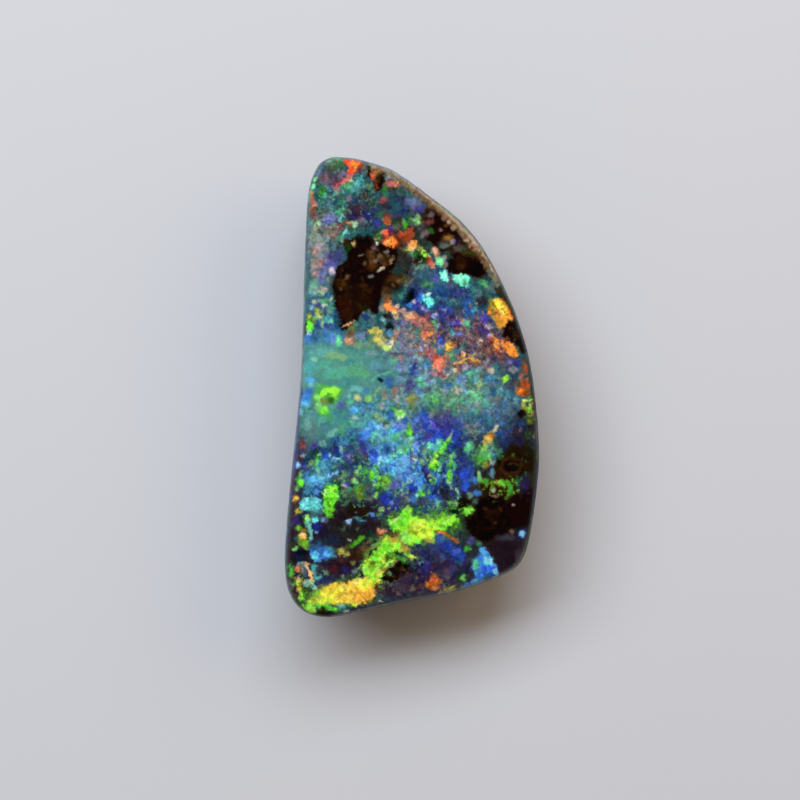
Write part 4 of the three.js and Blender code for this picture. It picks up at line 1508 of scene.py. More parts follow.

# The long green and yellow band
# Painted highlights: the small pale dots below are glints on the lower rim
BAND = """
p gms-- 4 0.5 330,588 352,578 366,566 372,550 384,538 402,534 412,540 432,540 436,534 462,524 462,510 440,512 418,512 410,502 402,504 388,516 396,530 382,534 366,552 358,570 330,580 314,592
p gol 1.3 1 309,599 313,594 316,589 323,586 330,583 338,581.5 347,580.5 354,577 358,574.5 363,576 366,572 371,573 376,575 381,579 378,583 375,583 375,587 377,592 374,596 371,598 368,601 366,603.5 360,602 355,604 350,601 343,600 335,603 330,600 322,601 316,601
f yel,lem,gol,yel,amb 345 591 40 12 3.0 0.8 0.2 -10 1.4
b yel 334 588 16 5 -10 0.45 0.7
b org 366 592 8 5 0 0.45 0.7
b yel 326 591 9 3.6 -8 0.7
b gol 332 585.6 4.4 2.6 -10 0.8
b amb 366 592.6 7 4.4 15 0.85
b amb 360 597 5 2.6 0 0.7
b gol 350 592.6 6 3.6 0 0.7
b yel 362 584 6.4 4.2 -15 0.95
b yel+ 357 579 4 3 -20 0.85
b lem 330 597.6 7 3.4 5 0.8
b lem 373 578 6.4 4.4 10 0.95
b yel+ 345 585 5 2 -8 0.7
b amb- 341 594.6 4 1.5 -15 0.6
b amb- 354 588.4 4 1.3 -25 0.6
b lem- 320 595.6 3 1.8 0 0.6
b lgr- 318 590.6 2.7 3.4 0 0.85
b amb- 315 598.6 2.8 2.4 0 0.8
b rus-- 376.6 584 3 3.2 0 0.9
p lgr 1.1 1 302,605 308,601 314,602 317,606 316,613 312,612 306,608.5
b lgr+ 311 605.6 3.6 2.4 20 0.7
b lgr- 306.6 603.4 2.2 1.6 0 0.7
b lem 309 610.4 2.6 1 20 0.8
l grn 2.2 1.4 0.85 318,602.6 326,603.6 336,607
P cof-- 1.0 0.95 318,607 323,605.5 330,608 337,609.5 336,615.6 325,616 317.6,614.5
b rus 334 614 2.4 1.6 0 0.8
b ltl 340.6 603 2.4 1.8 0 0.85
b tea 343.6 606 4.4 2.4 0 0.85
b dte- 349 604.6 3 2.6 0 0.85
b lem 354 601.4 2.8 1.9 0 0.9
p dpl- 2 0.9 340,608 365,603.6 384,601 402,597 402,602 380,606.6 345,613
b div 349 611 4 2.4 0 0.8
b wht++ 347 609.2 2.4 1.1 -8 0.9
b psg++ 354.6 610.5 1.7 1 0 0.85
b grt+ 359.4 608.6 1.6 1 0 0.8
b lil+ 341.6 614 2.7 1.2 -10 0.85
b dnv+ 370.6 604.4 2 1.4 0 0.8
b gry++ 381 598 1 1 0 0.8
b slt++ 384.4 602 0.9 0.9 0 0.8
b tan++ 386.6 605 0.9 0.9 0 0.7
p grn 1.3 1 389,518.5 393,516.5 398,514 401,511 404,506 407,504 411,506 412,511 414,515 418,517 424,516 430,518 437,519 445,513.6 452,512 458,514 459,520 455,524 448,526 440,527 434,527.5 434.5,534 434,540 425,540 420,538 416,542 410,543 405,540 401,541 401,536 402,530 399,527 393,527 389,523
f lgr,grn,lem,lgr,gms,grn 420 525 40 20 3.2 0.8 0.35 -20 1.5
b lem 418 524 15 8 -15 0.55 0.7
b yel 423 530 8 6 -10 0.75 0.7
b lgr 440 520 13 5 -8 0.5 0.7
b lem 399 536 7 6 -30 0.4 0.7
b lem 419 524.6 5.4 6 0 0.9
b lem+ 418 521.6 2.6 2 0 0.7
b lem 427 533.4 6 5 0 0.9
b yel- 428 539 4.6 2.4 0 0.8
b lgr 412.4 538.4 3.6 4.2 0 0.85
b lgr+ 394.6 519.6 3.6 2.3 0 0.9
b grn 402.6 521.6 4.4 3.4 0 0.85
b grn+ 405.6 534.6 4.2 5 0 0.85
b lem- 410.4 526 2.8 3 0 0.8
b lgr-- 414.6 530.6 2.4 1.8 0 0.7
b grn-- 423 529 1.8 2.6 0 0.6
b lgr-- 399 530 2 2 0 0.6
b lgr 408 508.6 2.8 4.4 0 0.9
b lgr++ 407 506.6 1.4 1.8 0 0.6
b lgr 437 522.4 4 3 0 0.9
b lgr 449 517.4 5.6 3.6 -15 0.9
b lgr+ 446 519.6 2.4 1.3 0 0.7
b lgr-- 455.4 522 2.8 2.2 0 0.8
b gms-- 442 523.4 2 1.2 0 0.6
p lgr 1.3 1 383,536 388,534 394,536 400,540 402,545 406,549 411,552 416,555 418,556.5 412,556 407,553 403,550 400,549 397,553 395,558 396,562 392,564 388,562 384,565 386,572 383,577 379,575 376,580 370,576 368,572 364,570 363,566 366,561 369,556 372,553 372,549 377,549 381,546 382,541
f lgr,lem,grn,gms,yol,gol,lem+ 385 556 24 24 3.4 0.8 0.65 -45 1.4
b grn 386.4 544.6 4.6 5.4 0 0.9
b lgr 395 544.6 4.4 4.4 0 0.85
b gol- 393 537.6 4.6 2.6 0 0.8
b brn 392.4 532 4.4 2.6 0 0.85
b yel- 405 546.6 3.6 2.6 0 0.8
b lem+ 413.6 554.6 3.2 1.5 20 0.9
b grn 376.6 553 3.8 3.6 0 0.85
b lem 384 557 3.8 3 0 0.85
b lem-- 388.6 556 2 2 0 0.7
b lem-- 379.6 560 1.8 1.8 0 0.7
b lgr+ 391 562 3.6 2 0 0.9
b lgr- 371.4 565.6 3.4 3.4 0 0.85
b lgr+ 364.6 567 1.9 2.4 0 0.85
b yel-- 383 568 2.6 3.4 0 0.75
b gol+ 378 569.6 3 3 0 0.7
b gms 402 556.6 4 2.4 15 0.9
b bgr- 397 550.4 2.8 1.9 -20 0.9
b dgr-- 390 551.4 2 1.4 0 0.7
b oli- 372.6 559.4 1.8 1.8 0 0.6
P ibk- 1.2 0.95 386,566.6 392,565.6 398,560.6 404,558 408,560 408,568 402,575 392,579 386,580 381,578 384,573
B dgr+ 389.4 571.4 1.9 2.3 0 0.75
B ibk+ 402 566.4 2 1.6 0 0.75
B brn- 395 574 1.6 1.2 0 0.6
b ste-- 413 562.6 2.7 5 0 0.8
b ind 424 562.6 5.2 5.2 0 0.85
b deb+ 418.6 560.6 1.6 1.6 0 0.85
b per- 426.4 560 2 1.6 0 0.6
b mau-- 405 573.4 4.4 2.8 0 0.8
b dpl 390 589 7 5 0 0.8
b mar+ 393 588 1.2 1 0 0.8
b mar+ 398 590.4 1.2 1 0 0.8
b deb 386 497.6 4.4 5.4 0 0.85
b ind 393.4 504 5 5 0 0.8
b deb+ 391.5 500.5 1.7 1.6 0 0.85
b sag 381 508.4 1.4 3.2 20 0.8
b slt- 404 499 6 5 0 0.6
b slt- 423 501 7 4.6 0 0.6
b dtg 417 507 4 3.4 0 0.6
b nav 428 509 5 4 0 0.7
b gms 433 512.4 3 1.6 -10 0.6
b per-- 441 505 4 3.4 0 0.6
"""

# East side and the ironstone of the lower east corner
EAST = """
b sea 468 447 4.4 5.4 0 0.9
b mnt 467 444 2 2 0 0.6
b gol 488 436.4 3.3 4.2 0 0.95
b org- 491.6 434 2 2.4 0 0.85
b gol 483.6 442.4 2 2.8 0 0.95
b lem 484 446.6 2.8 2.7 0 0.95
b grn 485 453 3.6 5.4 0 1 0.4
l grn++ 1.3 0.8 0.95 488,449 489,455 489.5,462
b gms- 480.6 458 2.4 4 0 0.7
b gol- 484 463.4 2.7 2.6 0 0.85
b olv++ 494.6 427.6 1.9 2.8 30 0.9
b cof++ 466 424.4 2.8 2 0 0.7
b blu- 500 434 3.6 3.8 0 0.8
b blu 494 456 2.7 4.4 0 0.9
b sky 497 453 1.9 2 0 0.85
b lil 492 461.6 1.8 1.9 0 0.85
b lsk- 491 471.4 1.9 4.4 0 0.85
b deb 463 474.4 4 5.2 0 0.9
b roy 465 471 2.6 2.4 0 0.8
b nav 471 466 4 4 0 0.6
b roy 465 484.4 2.7 4.4 0 0.9
b blu 474 477.6 2.7 3 0 0.9
b gms+ 478.4 475 1.7 4.4 0 0.95
b gms 483 479.4 3.8 2.4 0 0.9
b blu 476 491.6 3.6 2.4 0 0.95
b tgr+ 469 493.4 2.3 2.8 0 0.85
b ste 475 500 2.7 2.6 0 0.8
b ibk- 463 501 6.4 4.4 0 0.85
p grn 1.1 1 461,508 466,506 471,503 474,507 473,512 467,513 462,511
b lgr+ 468 508 2.4 1.5 -20 0.6
b bgr-- 454.4 508 4.4 2.8 0 0.9
b dgy-- 512 452 20 16 0 0.6
B umb- 517 456 20 15 0 0.7
b gms 500 455.4 2.6 2.7 0 0.9
b dgr- 500 455.4 1.3 1.3 0 0.8
B ibk 512 464 15 10 0 0.95
L brn-- 1.4 1.2 0.55 501,458 507,455.6 514,455.6 520,458 524,462 524,468
L sie-- 1.3 1.1 0.55 497,469 502,472.6 509,474 516,472.4
B tan-- 513 464.8 2.6 1.3 0 0.8
B ibk- 507 466 4 3 0 0.9
B ibk- 518 467.6 3 2.6 0 0.8
F blk,umb,cof-,blk 512 464 16 11 2.4 0.4 0.6
b lgr- 499 481 3.8 3.7 0 0.95
b grn+ 498.4 480 1.8 1.6 0 0.6
b grn- 506 481.6 2.8 2.6 0 0.85
b gms 508.4 488 2.3 5.2 0 0.85
b sag 507 497.4 2.4 2.2 0 0.8
b sag+ 492.6 488 2 1.9 0 0.85
b gol- 494.4 480.4 1.8 2 0 0.85
b tgr- 517 480.6 3.6 5.4 0 0.75
b div 524 486 4.4 8 0 0.7
P ibk- 2.2 0.95 474,502 480,498 490,491 497,493 503,500 505,510 511,520 513,528 505,531 495,533 490,539 478,539 470,533 466,525 464,518 470,513 476,508
F umb,cof-,blk 488 520 26 20 3 0.4 0.5
P ibk 3 0.9 500,497 516,492 531,486 535,500 533,522 526,534 514,532 508,520 504,508
B cof- 489 512 6 4 0 0.5
B sie-- 484 506 2 1.4 0 0.6
B brn- 494 520 1.8 1.3 0 0.6
B sie-- 500 508 1.4 2 0 0.6
l dpk 1.1 0.8 0.7 491,493.6 493.6,494.4 496,495.6
b gry+ 512 503 1.1 1 0 0.8
b dpl- 507 552 12 13 0 0.85
b dpl- 495 543 9 5 0 0.7
b slt- 505 535.6 7.4 2.6 0 0.7
B pea-- 511 529.4 1.9 1.6 0 0.8
b nav- 521 531.4 6.4 6.4 0 0.85
b sky+ 521 531.4 3.2 3.3 0 0.95
b mau- 517 553 2.6 5 0 0.5
b pea 519 429.6 1.3 1.2
b rus-- 515 430.6 2.8 2.6 0 0.8
b blu- 521 424.6 2.8 2.6 0 0.75
b mnt-- 527 434.6 2.6 2.8 0 0.75
b olv+ 533.4 434 1.4 1.8 0 0.8
b div 517 440 3.8 4.6 0 0.7
b sky-- 508 424 4 5 0 0.6
b nav 504 441 4.4 3.6 0 0.7
b nav- 500 448 4 4 0 0.6
b dtg+ 509 413 3 2 0 0.6
l ora- 1.5 1 0.9 437,528.6 441,529 446,531.6 452,536.4 456,540
b ora 441 530.4 2.4 1.6 20 0.9
p roy- 1.2 0.95 436,532.4 440,533 448,540 458,543 465,550 466,556 461,560 455,560 451,554 446,546 440,541 437,538
b lsk-- 440.6 537.4 2.8 2.8 0 0.8
b sky-- 458 559 3.3 2.6 0 0.8
b deb+ 455 549 3 3 0 0.6
b slt- 434 552.6 6 7 0 0.7
b lsk-- 442 556 3 3 0 0.5
b gms 467 546 2.8 2.8 0 0.9
b per- 469.4 538.4 3.3 3.2 0 0.75
b sea- 477 541.4 2.8 2.7 0 0.85
p blu 1.2 1 478,545 484,544 487,549 490,555 494,560 496,567 496.5,575 493,579 489,576 484,579 478,580 470,585 461,588 462,584 468,580 474,576 474,570 470,565 472,560 478,556 480,550
b sky 483 549.4 3.4 4 0 0.95
b cyn 488 559 4.4 3.8 0 1
b pcy+ 487 557.6 2 1.6 0 0.6
l lsk 1.7 1 0.95 484,556 490,560 495,567 496,574
b roy 491 565 3.2 2.6 0 0.85
b roy 483 567 2.3 4.6 0 0.85
b roy- 491 573 2.8 2.8 0 0.8
b sky 480 578.4 3 2.4 0 0.9
b sky 474 581.6 3.3 2.8 0 0.9
b cyn- 464 586 3.8 1.9 -10 0.85
b sea 475.4 562.4 3.3 5.2 0 0.9
b dte 485.4 575 2.8 2.6 0 0.7
b dgr-- 462 575 5.4 5 0 0.8
b gms+ 462 575 2.4 2.3 0 0.9
b yol 448.4 587.4 5.4 3.2 -12 0.8
b lem- 453 586.6 3 2.3 0 0.85
p ora- 1.2 0.95 431,570 436,571 438,578 441,577 440,583 437,589 431,588 425,585 424,580 430,579
b rus+ 435 586 2.8 2.2 0 0.8
b cor 433 576 2.4 2.8 0 0.6
b sal-- 421 583 3 2.4 0 0.6
b ros++ 440.4 591 2 1.2 -10 0.8
b lil-- 446 572 4 4 0 0.6
b per-- 452 566 3.6 3 0 0.6
b tan- 412 586 2.6 2 0 0.6
"""

# Small sparks, crumbs and corrections over the rest
LATE = """
f grn,gms,lgr,dgr 500 486 20 14 1.9 0.2 0.7 40 1.5
f ind,div,nav,plm 524 486 8 14 3.0 0.5 0.5
f tgr,gms,nav,dte 516 470 16 22 2.2 0.1 0.5
f nav,div,deb,plm- 518 433 14 12 3.0 0.45 0.45
f yol,grn,sag,lem 533 412 6 14 2.0 0.3 0.7
f dgr,gms,oli,blk 404 556 24 10 2.4 0.3 0.6 -35 1.5
f lem,yel,lgr,grn 374 572 20 16 2.0 0.22 0.7 -50 1.3
f blk,umb,blk,ibk 400 566 22 9 2.6 0.35 0.7 -35 1.4
f dgr,gms,oli,grn 440 505 34 8 2.2 0.3 0.6 -15 1.4
f grn,dgr,sea,nav 350 470 30 26 2.6 0.22 0.5 60 1.8
f sky,cyn-,blu 316 470 18 22 2.2 0.16 0.55 -30 1.8
f div,ind,plm,nav 345 450 30 18 3.0 0.3 0.4 20 1.8
b yol 375 333.4 5.5 3.2 0 0.7
b yol 380 341 5 3.6 0 0.6
b yol+ 386.6 347.4 3.8 2.4 0 0.7
b yol+ 383 338 2 3.6 0 0.5
p rus+ 1.2 0.55 404,313 412,312 420,316 428,320 431,326 431,334 425,341 423,338 421,331 413,326 406,320
b win+ 418 323 4 2.5 20 0.45
b pea 411 317.6 4 1.5 15 0.6
b red+ 425.6 335.4 1.8 3.0 -20 0.8
f org,amb,ora,rus,cor 502 346 12 7 2.4 0.5 0.85
b org 505.6 346 5 3 15 0.6
b yel-- 490.4 306 2.6 6 -20 0.6
b gol-- 493.6 316 2.4 5 -15 0.5
b yel 502.6 308 3.6 4.6 -20 0.6
b ora 508.6 315 2.2 5 -20 0.7
b amb- 500 322 3.6 2.6 20 0.6
l ora-- 0.8 0.7 0.6 492,303 496,310 499,318
l yel+ 0.8 0.7 0.6 497,303 500,307 502,312
f sal,ros-,pea-,tan,gol 438 352 24 14 1.9 0.14 0.7 20 1.3
f plm,dpl,ind,win- 455 330 26 20 3.0 0.3 0.5
b grn 479 455 6 8 10 0.45 0.7
f grn,lgr,sea,gms 480 456 12 12 2.2 0.3 0.6 70 1.5
f lgr,gol,pea,sag,grn 299 580 7 10 2.6 0.5 0.7
f oli,umb,mar,dgr,yol 425 257 9 9 2.6 0.45 0.65
b dtg 479 420 12 8 0 0.28 0.8
b umb 390 292 8 8 0 0.4 0.7
f umb,dgy,cof,oli- 404 274 10 9 2.8 0.4 0.5
f grn,lgr,dgr,gms 444 507 12 7 2.4 0.5 0.7 -10 1.4
b ltl 316 508 6 6 0 0.35 0.7
f mar,umb,rus-,win 398 237 14 12 2.6 0.35 0.55
f umb,rus-,oli,blk 371 598 12 8 2.4 0.35 0.6
b lgr 315 598 9 7 0 0.35 0.7
b lem 334 594 12 8 0 0.3 0.7
b ibk 337 290 5 9 0 0.45 0.7
f umb,dnv,dgr,dpl,mar- 368 192 12 22 3.0 0.3 0.5
f umb,cof,plm-,oli 530 424 9 14 2.8 0.35 0.6
f dnv,dpl,slt 512 418 10 9 2.8 0.3 0.5
b umb- 524 425 15 17 0 0.42 0.6
f yol,lem,grn,sag,gms 531 406 6 15 2.0 0.34 0.8
f ind,plm,nav 510 432 9 10 2.8 0.3 0.5
f sky-,tea,ltl-,grn- 492 452 9 12 2.2 0.35 0.6 70 1.4
f mau,plm,umb,mar,dpk- 421 328 13 12 2.6 0.42 0.5
f plm,mau,div 425 345 12 9 2.6 0.35 0.5
f oli,umb,dgr,blk 424 255 9 9 2.4 0.4 0.6
f plm,div,dgy 335 256 9 9 3 0.4 0.5
f ibk,blk,umb 372 238 9 9 3 0.5 0.6
b sky- 318 546 6 5 0 0.35 0.7
f lil-,slt,mau,plm 479 383 14 12 2.4 0.35 0.5
b red- 391 236 8 6 0 0.28 0.8
f umb,dgr,dpl 371 203 10 10 3 0.45 0.5
f umb,cof,blk 407 275 9 9 3 0.45 0.5
f nav,dnv,dte 461 292 12 9 3 0.35 0.5
f blk,dnv,dpl,bgr 350 470 46 40 1.9 0.16 0.5 60 1.6
f blk,dnv,dpl,ind 430 465 50 42 1.9 0.16 0.5 65 1.6
f blk,dpl,umb,dnv 345 215 36 50 1.9 0.14 0.45
f blk,dpl,umb,dnv 460 325 60 44 1.9 0.14 0.45
f blk,dpl,dnv 440 565 50 24 1.9 0.14 0.45
f cyn-,sky,lsk,ltl 420 440 46 30 1.8 0.07 0.6 60 1.5
f mnt-,sea,ltl,sag 345 200 34 44 1.8 0.08 0.6
f pea-,sal,gol-,ltl 455 335 60 40 1.8 0.08 0.65
f sag,mnt-,sea,ltl- 450 392 60 20 1.8 0.12 0.5
f lsk,sea,psg- 345 372 40 26 1.9 0.05 0.3 50 2.0
f grn,lgr,sea,sky 400 505 60 12 1.8 0.08 0.6
b tgr 400 296 6 5 0 0.3 0.8
b grt 470 428 8 9 0 0.4 0.7
f sag,yol,sea,lil 478 432 12 9 2.2 0.3 0.6
b mau 443 416 9 7 0 0.3 0.8
b sag 370 346 8 5 0 0.35 0.8
b lim- 492 290 5 4 0 0.35 0.7
b cyn- 318 505 7 7 0 0.3 0.7
b sky 404 470 9 7 0 0.3 0.8
b blu- 317 545 7 6 0 0.5 0.7
f tea,ltl,sky-,sea 488 452 9 12 2.2 0.45 0.6 70 1.4
b cyn- 312 504 6 5 0 0.35 0.7
b ltl 320 470 12 7 -25 0.35 0.8
f ltl,sky,tea,cyn- 318 474 14 12 2.4 0.35 0.5 -25 1.5
f div,lav,ind,blu 402 327 9 9 2.4 0.4 0.55
b lgr 313 603 8 5 0 0.3 0.7
b sky- 408 472 10 8 0 0.3 0.8
f sky,lsk,vio,roy 408 472 12 12 2.0 0.3 0.6 70 2.0
l vio- 1.6 1.2 0.6 411,450 412,460 411,470 414,482
l vio 1.2 1.0 0.5 421,446 423,456 427,468
l sky 1.0 0.8 0.6 417,455 419,466 424,478 431,490
l sky 0.9 0.8 0.55 409,468 413,478 419,488
l cyn- 0.9 0.8 0.6 398,452 402,460 406,470
l lgr 1.0 0.8 0.6 441,440 437,448 433,456 430,464
l grn 1.2 0.8 0.6 452,452 450,462 449,472
l dnv 1.2 1.0 0.55 423,470 427,480 432,492
l dnv 1.4 1.0 0.5 440,470 443,482 448,492
l lsk 0.8 0.7 0.5 372,455 380,462 386,470
l sea 0.8 0.7 0.5 360,462 364,472 366,482
l grn 1.0 0.8 0.55 377,466 379,476 378,486
b vio- 415 425 6 8 10 0.35 0.7
b ind 440 425 10 8 0 0.3 0.8
b vio- 449 420 8 5 -10 0.35 0.8
f vio,ind,roy 432 428 24 12 2.4 0.2 0.55 60 1.6
b cyn- 322 461 5 4 -20 0.5 0.6
f sky,cyn-,ltl,cyn- 321 468 9 8 2.0 0.3 0.6 -25 1.6
b cyn- 309 485 4 5 0 0.5 0.6
f cyn-,ltl,sky,sea 311 488 7 9 2.0 0.3 0.55
f cyn-,ltl,sea 309 502 8 6 2.0 0.35 0.5
f dgr,oli,grn,bgr 307 592 7 8 2.2 0.4 0.6
b sky 399 464 6 9 20 0.35 0.8
f lsk,sky,cyn-,sky 400 465 12 14 1.8 0.25 0.65 62 1.9
f crm,mau,win,red 325 180 6 8 2.0 0.3 0.55 -45 1.8
f lav,div,ind,lav 398 321 9 8 2.0 0.3 0.5
b roy 465 473 5 8 15 0.45 0.6
f roy,deb,blu,roy 468 481 10 10 1.9 0.35 0.65 62 1.8
b umb 510 465 10 8 0 0.4 0.5
b blk 511 465 7 5 0 0.7 0.4
l cof 1.3 0.8 0.6 499,468 502,460 510,457 518,459 521,465 516,471 506,473 499,468
l brn 0.8 0.7 0.5 508,463 513,461 516,464
f umb,ibk,cof 511 478 10 5 2.0 0.3 0.5
b gol 349 591 12 5 -14 0.4 0.7
b yel 340 587 9 3 -16 0.45 0.7
b amb 366 591 7 4 -10 0.45 0.7
b yol 320 595 5 3 -20 0.4 0.7
f lem,yel,gol 337 594 16 4 1.8 0.2 0.6 -14 2.0
f mar,dpl,umb 412 588 12 8 2.4 0.3 0.5
b deb 441 545 12 9 30 0.3 0.8
f deb,ind,tea 446 548 14 9 2.2 0.25 0.5 40 1.6
f tea,tgr,ltl 428 452 7 8 2.0 0.25 0.5 60 1.6
b cyn- 436 444 4 6 25 0.5 0.6
b cyn- 326 465 8 7 -20 0.32 0.9
b sky 398 464 9 9 0 0.3 0.9
b lsk 403 462 3 6 20 0.5 0.7
b cyn- 308 499 6 6 0 0.35 0.8
b ste 488 447 8 8 0 0.35 0.8
b dgr 307 590 6 7 0 0.35 0.9
b lav- 398 320 8 8 0 0.3 0.9
b win 326 178 6 7 0 0.3 0.8
f lem,yel,lgr 422 532 14 7 1.6 0.2 0.45
b lem 428 527 10 6 0 0.3 0.9
"""

# Along the rim
# Painted highlight: the three pale lines below run along the upper rim, where it catches the light
# Painted shade: dark line along the lower rim, which faces away from the light; the thin grey line after it is a
# painted highlight on the very edge
# The rim: painted highlight along the upper edge where it catches the light, dark skin on the bowed side, painted shade
# along the lower edge with a thin painted highlight line at the heel
EDGES = """
# The rim: pale ground edge above, dark skin on the bowed side, light at the heel
l umb 3.2 1.8 0.75 497,290 509,305 518,322 525,340 530,360 533,384 536,410 537,440 537,470 535,500 532,525 528,545 523,560
l blk 1.6 1.4 0.6 514,313 522,332 527,352 531,376 533,400
l brn 2.2 2 0.55 436,208 452,220 467,233 480,248 491,266 499,282
l sie 1.2 1.2 0.4 432,206 448,219 464,233 477,248 488,264 496,280
l brn 1.4 1 0.5 392,176 410,186 425,198 440,212
l tan 3.4 2.2 0.5 372,166 392,176 411,189 429,203 445,217 461,233 475,249 487,266 497,283
l gre 2.2 1.4 0.8 352,158 372,162 392,171 412,184 430,198 446,212 462,228 476,244 488,261 498,279
l psg- 1.2 0.9 0.5 318,164 326,160 338,158 350,159
l ste- 2 1.4 0.6 306,215 305,240 304,262 303,290
l ste 1.6 1.2 0.45 302,310 301,330 300,350 300,380
l ind 1.6 1.2 0.6 298,400 297,430 295,450 293,480
l dpl 2 1.4 0.7 292,480 290,510 288,540 287,570 288,590 292,604
l blk 1.8 1.2 0.6 300,611 312,615 330,616 350,613 380,606 410,600 440,594 470,588 495,580 512,571
l gry 0.8 0.7 0.5 330,615.5 360,611 400,602.5 440,595
"""

FACE_MARKS = [WASHES, MOSAIC, TIP, FLANK, BLUE_GROUND, SPARKS, PIT, CENTRE, MILKY, LOW_WEST, DARK_WEST, STROKES, BAND, EAST, LATE, EDGES]


def paint_face(x, y):
    """Colours, ironstone mask and grain of the face at points given in picture units."""
    s = Sheet(x, y, 'dte')
    for text in FACE_MARKS:
        s.run(text)
    s.grain(3.1, 0.14, 0.06, 301)
    s.grain(1.7, 0.10, 0.05, 311)
    return s

def poly_inside(x, y, pts):
    inside = np.zeros(x.shape, bool)
    n = len(pts)
    for i in range(n):
        x0, y0 = pts[i]
        x1, y1 = pts[(i + 1) % n]
        if y0 == y1:
            continue
        inside ^= ((y0 > y) != (y1 > y)) & (x < (x1 - x0) * (y - y0) / (y1 - y0) + x0)
    return inside

def paint_side(arc, v, xy):
    """Rim and side: colours of the seam's fire, colours of the ironstone, and how far a point is into the ironstone.
    arc and v are mm along and down the side."""
    depth = v * PX
    X, Y = xy[:, 0], xy[:, 1]
    face = paint_face(px_of(X), py_of(Y))
    edge_rgb = np.clip(face.rgb, 0, 1)
    def n2(size, k, octaves=3, stretch=1.0):
        return fractal(arc * PX / stretch, depth, size, k, octaves)
    # The seam is thick on the straight side and at the heel, and thin on the bowed side.
    seam = 1.15 + 0.5 * smooth(-1.0, -4.0, X) + 0.35 * smooth(-6.5, -8.0, Y) * smooth(1.5, -2.0, X)
    seam = seam - 0.85 * smooth(1.2, 3.2, X) * smooth(-2.0, 1.0, Y) - 0.75 * smooth(2.5, 4.2, X)
    seam = seam + 0.9 * (n2(60, 701) - 0.5) + 0.4 * (n2(20, 703) - 0.5)
    into = smooth(-0.3, 0.3, v - seam)
    # Fire of the seam, darker and bluer than the face, changing along the stone
    zones = [(-8.6, ['dgr', 'gms', 'dnv', 'tgr', 'ind', 'nav'], 1),
             (-5.5, ['nav', 'deb', 'dte', 'tgr', 'ind', 'blu', 'div'], 2),
             (-1.5, ['ind', 'nav', 'dte', 'ste', 'plm', 'tea'], 3),
             (2.0, ['tea', 'ste', 'dte', 'tgr', 'nav', 'slt'], 4),
             (5.5, ['tea', 'plm', 'tgr', 'dte', 'nav', 'slt'], 5)]
    base = np.zeros(edge_rgb.shape)
    for lo, cols, k in zones:
        table = np.array([colour(t) for t in cols])
        at = np.clip((fractal(arc * PX / 1.5, depth, 17.0, 711 + k, 2) - 0.25) * 2, 0, 0.999) * (len(cols) - 1)
        lower = at.astype(int)
        part = (at - lower)[:, None]
        col = table[lower] * (1 - part) + table[lower + 1] * part
        w = smooth(lo - 1.0, lo + 1.0, Y)[:, None]
        base = base * (1 - w) + col * w
    turn = smooth(0.2, 0.62, v)[:, None]
    fire = edge_rgb * (1 - turn) + base * turn
    # Ironstone, with a worn and weathered paler strip on the upper bowed rim
    tone = n2(34, 731, 3, 2.0)
    rust = smooth(0.52, 0.68, n2(30, 751, 3, 1.5))[:, None]
    stone_rgb = (colour('umb') * 0.6 + colour('cof') * 0.4)[None, :] * (0.6 + 0.85 * tone)[:, None]
    # Ironstone, with a paler strip of painted highlight on the upper bowed rim, where the rim catches the light
    stone_rgb = stone_rgb * (1 - 0.4 * rust) + colour('sie') * 0.75 * 0.4 * rust
    pale = smooth(-0.6, 1.2, X) * smooth(1.0, 3.4, Y)
    rim_highlight = pale * smooth(0.03, 0.22, v) * (1 - smooth(0.7, 1.9, v + 1.6 * (n2(26, 783, 3) - 0.5)))
    rim_highlight = np.clip(rim_highlight * (0.55 + 0.7 * n2(10, 781, 3, 1.6)), 0, 0.8)[:, None]
    stone_rgb = stone_rgb * (1 - rim_highlight) + (colour('tan') * 0.55 + colour('gre') * 0.4) * rim_highlight
    # The painted highlight strip shows the ironstone under it, not the fire.
    into = np.maximum(into, np.clip(pale * smooth(0.02, 0.2, v) * 1.2, 0, 1))
    into = np.maximum(into, np.clip(face.iron, 0, 1) * (1 - smooth(0.5, 1.0, v)))
    host = edge_rgb * (1 - smooth(0.0, 0.25, v)[:, None]) + stone_rgb * smooth(0.0, 0.25, v)[:, None]
    # Grey potch under the fire
    potch = np.exp(-((v - seam) / 0.14) ** 2)[:, None] * turn
    fire = fire * (1 - 0.5 * potch) + colour('dgy') * 0.5 * potch
    return np.clip(fire, 0, 1), np.clip(host, 0, 1), np.clip(into, 0, 1)

def paint_back(x, y):
    """The ground back: satin brown ironstone, rust-stained in places."""
    tone = fractal(x, y, 60, 801, 4)
    rgb = (colour('umb') * 0.4 + colour('cof') * 0.6)[None, :] * (0.6 + 0.9 * tone)[:, None]
    rust = smooth(0.52, 0.7, fractal(x, y, 50, 821, 3))[:, None]
    return np.clip(rgb * (1 - 0.5 * rust) + colour('sie') * 0.75 * 0.5 * rust, 0, 1)

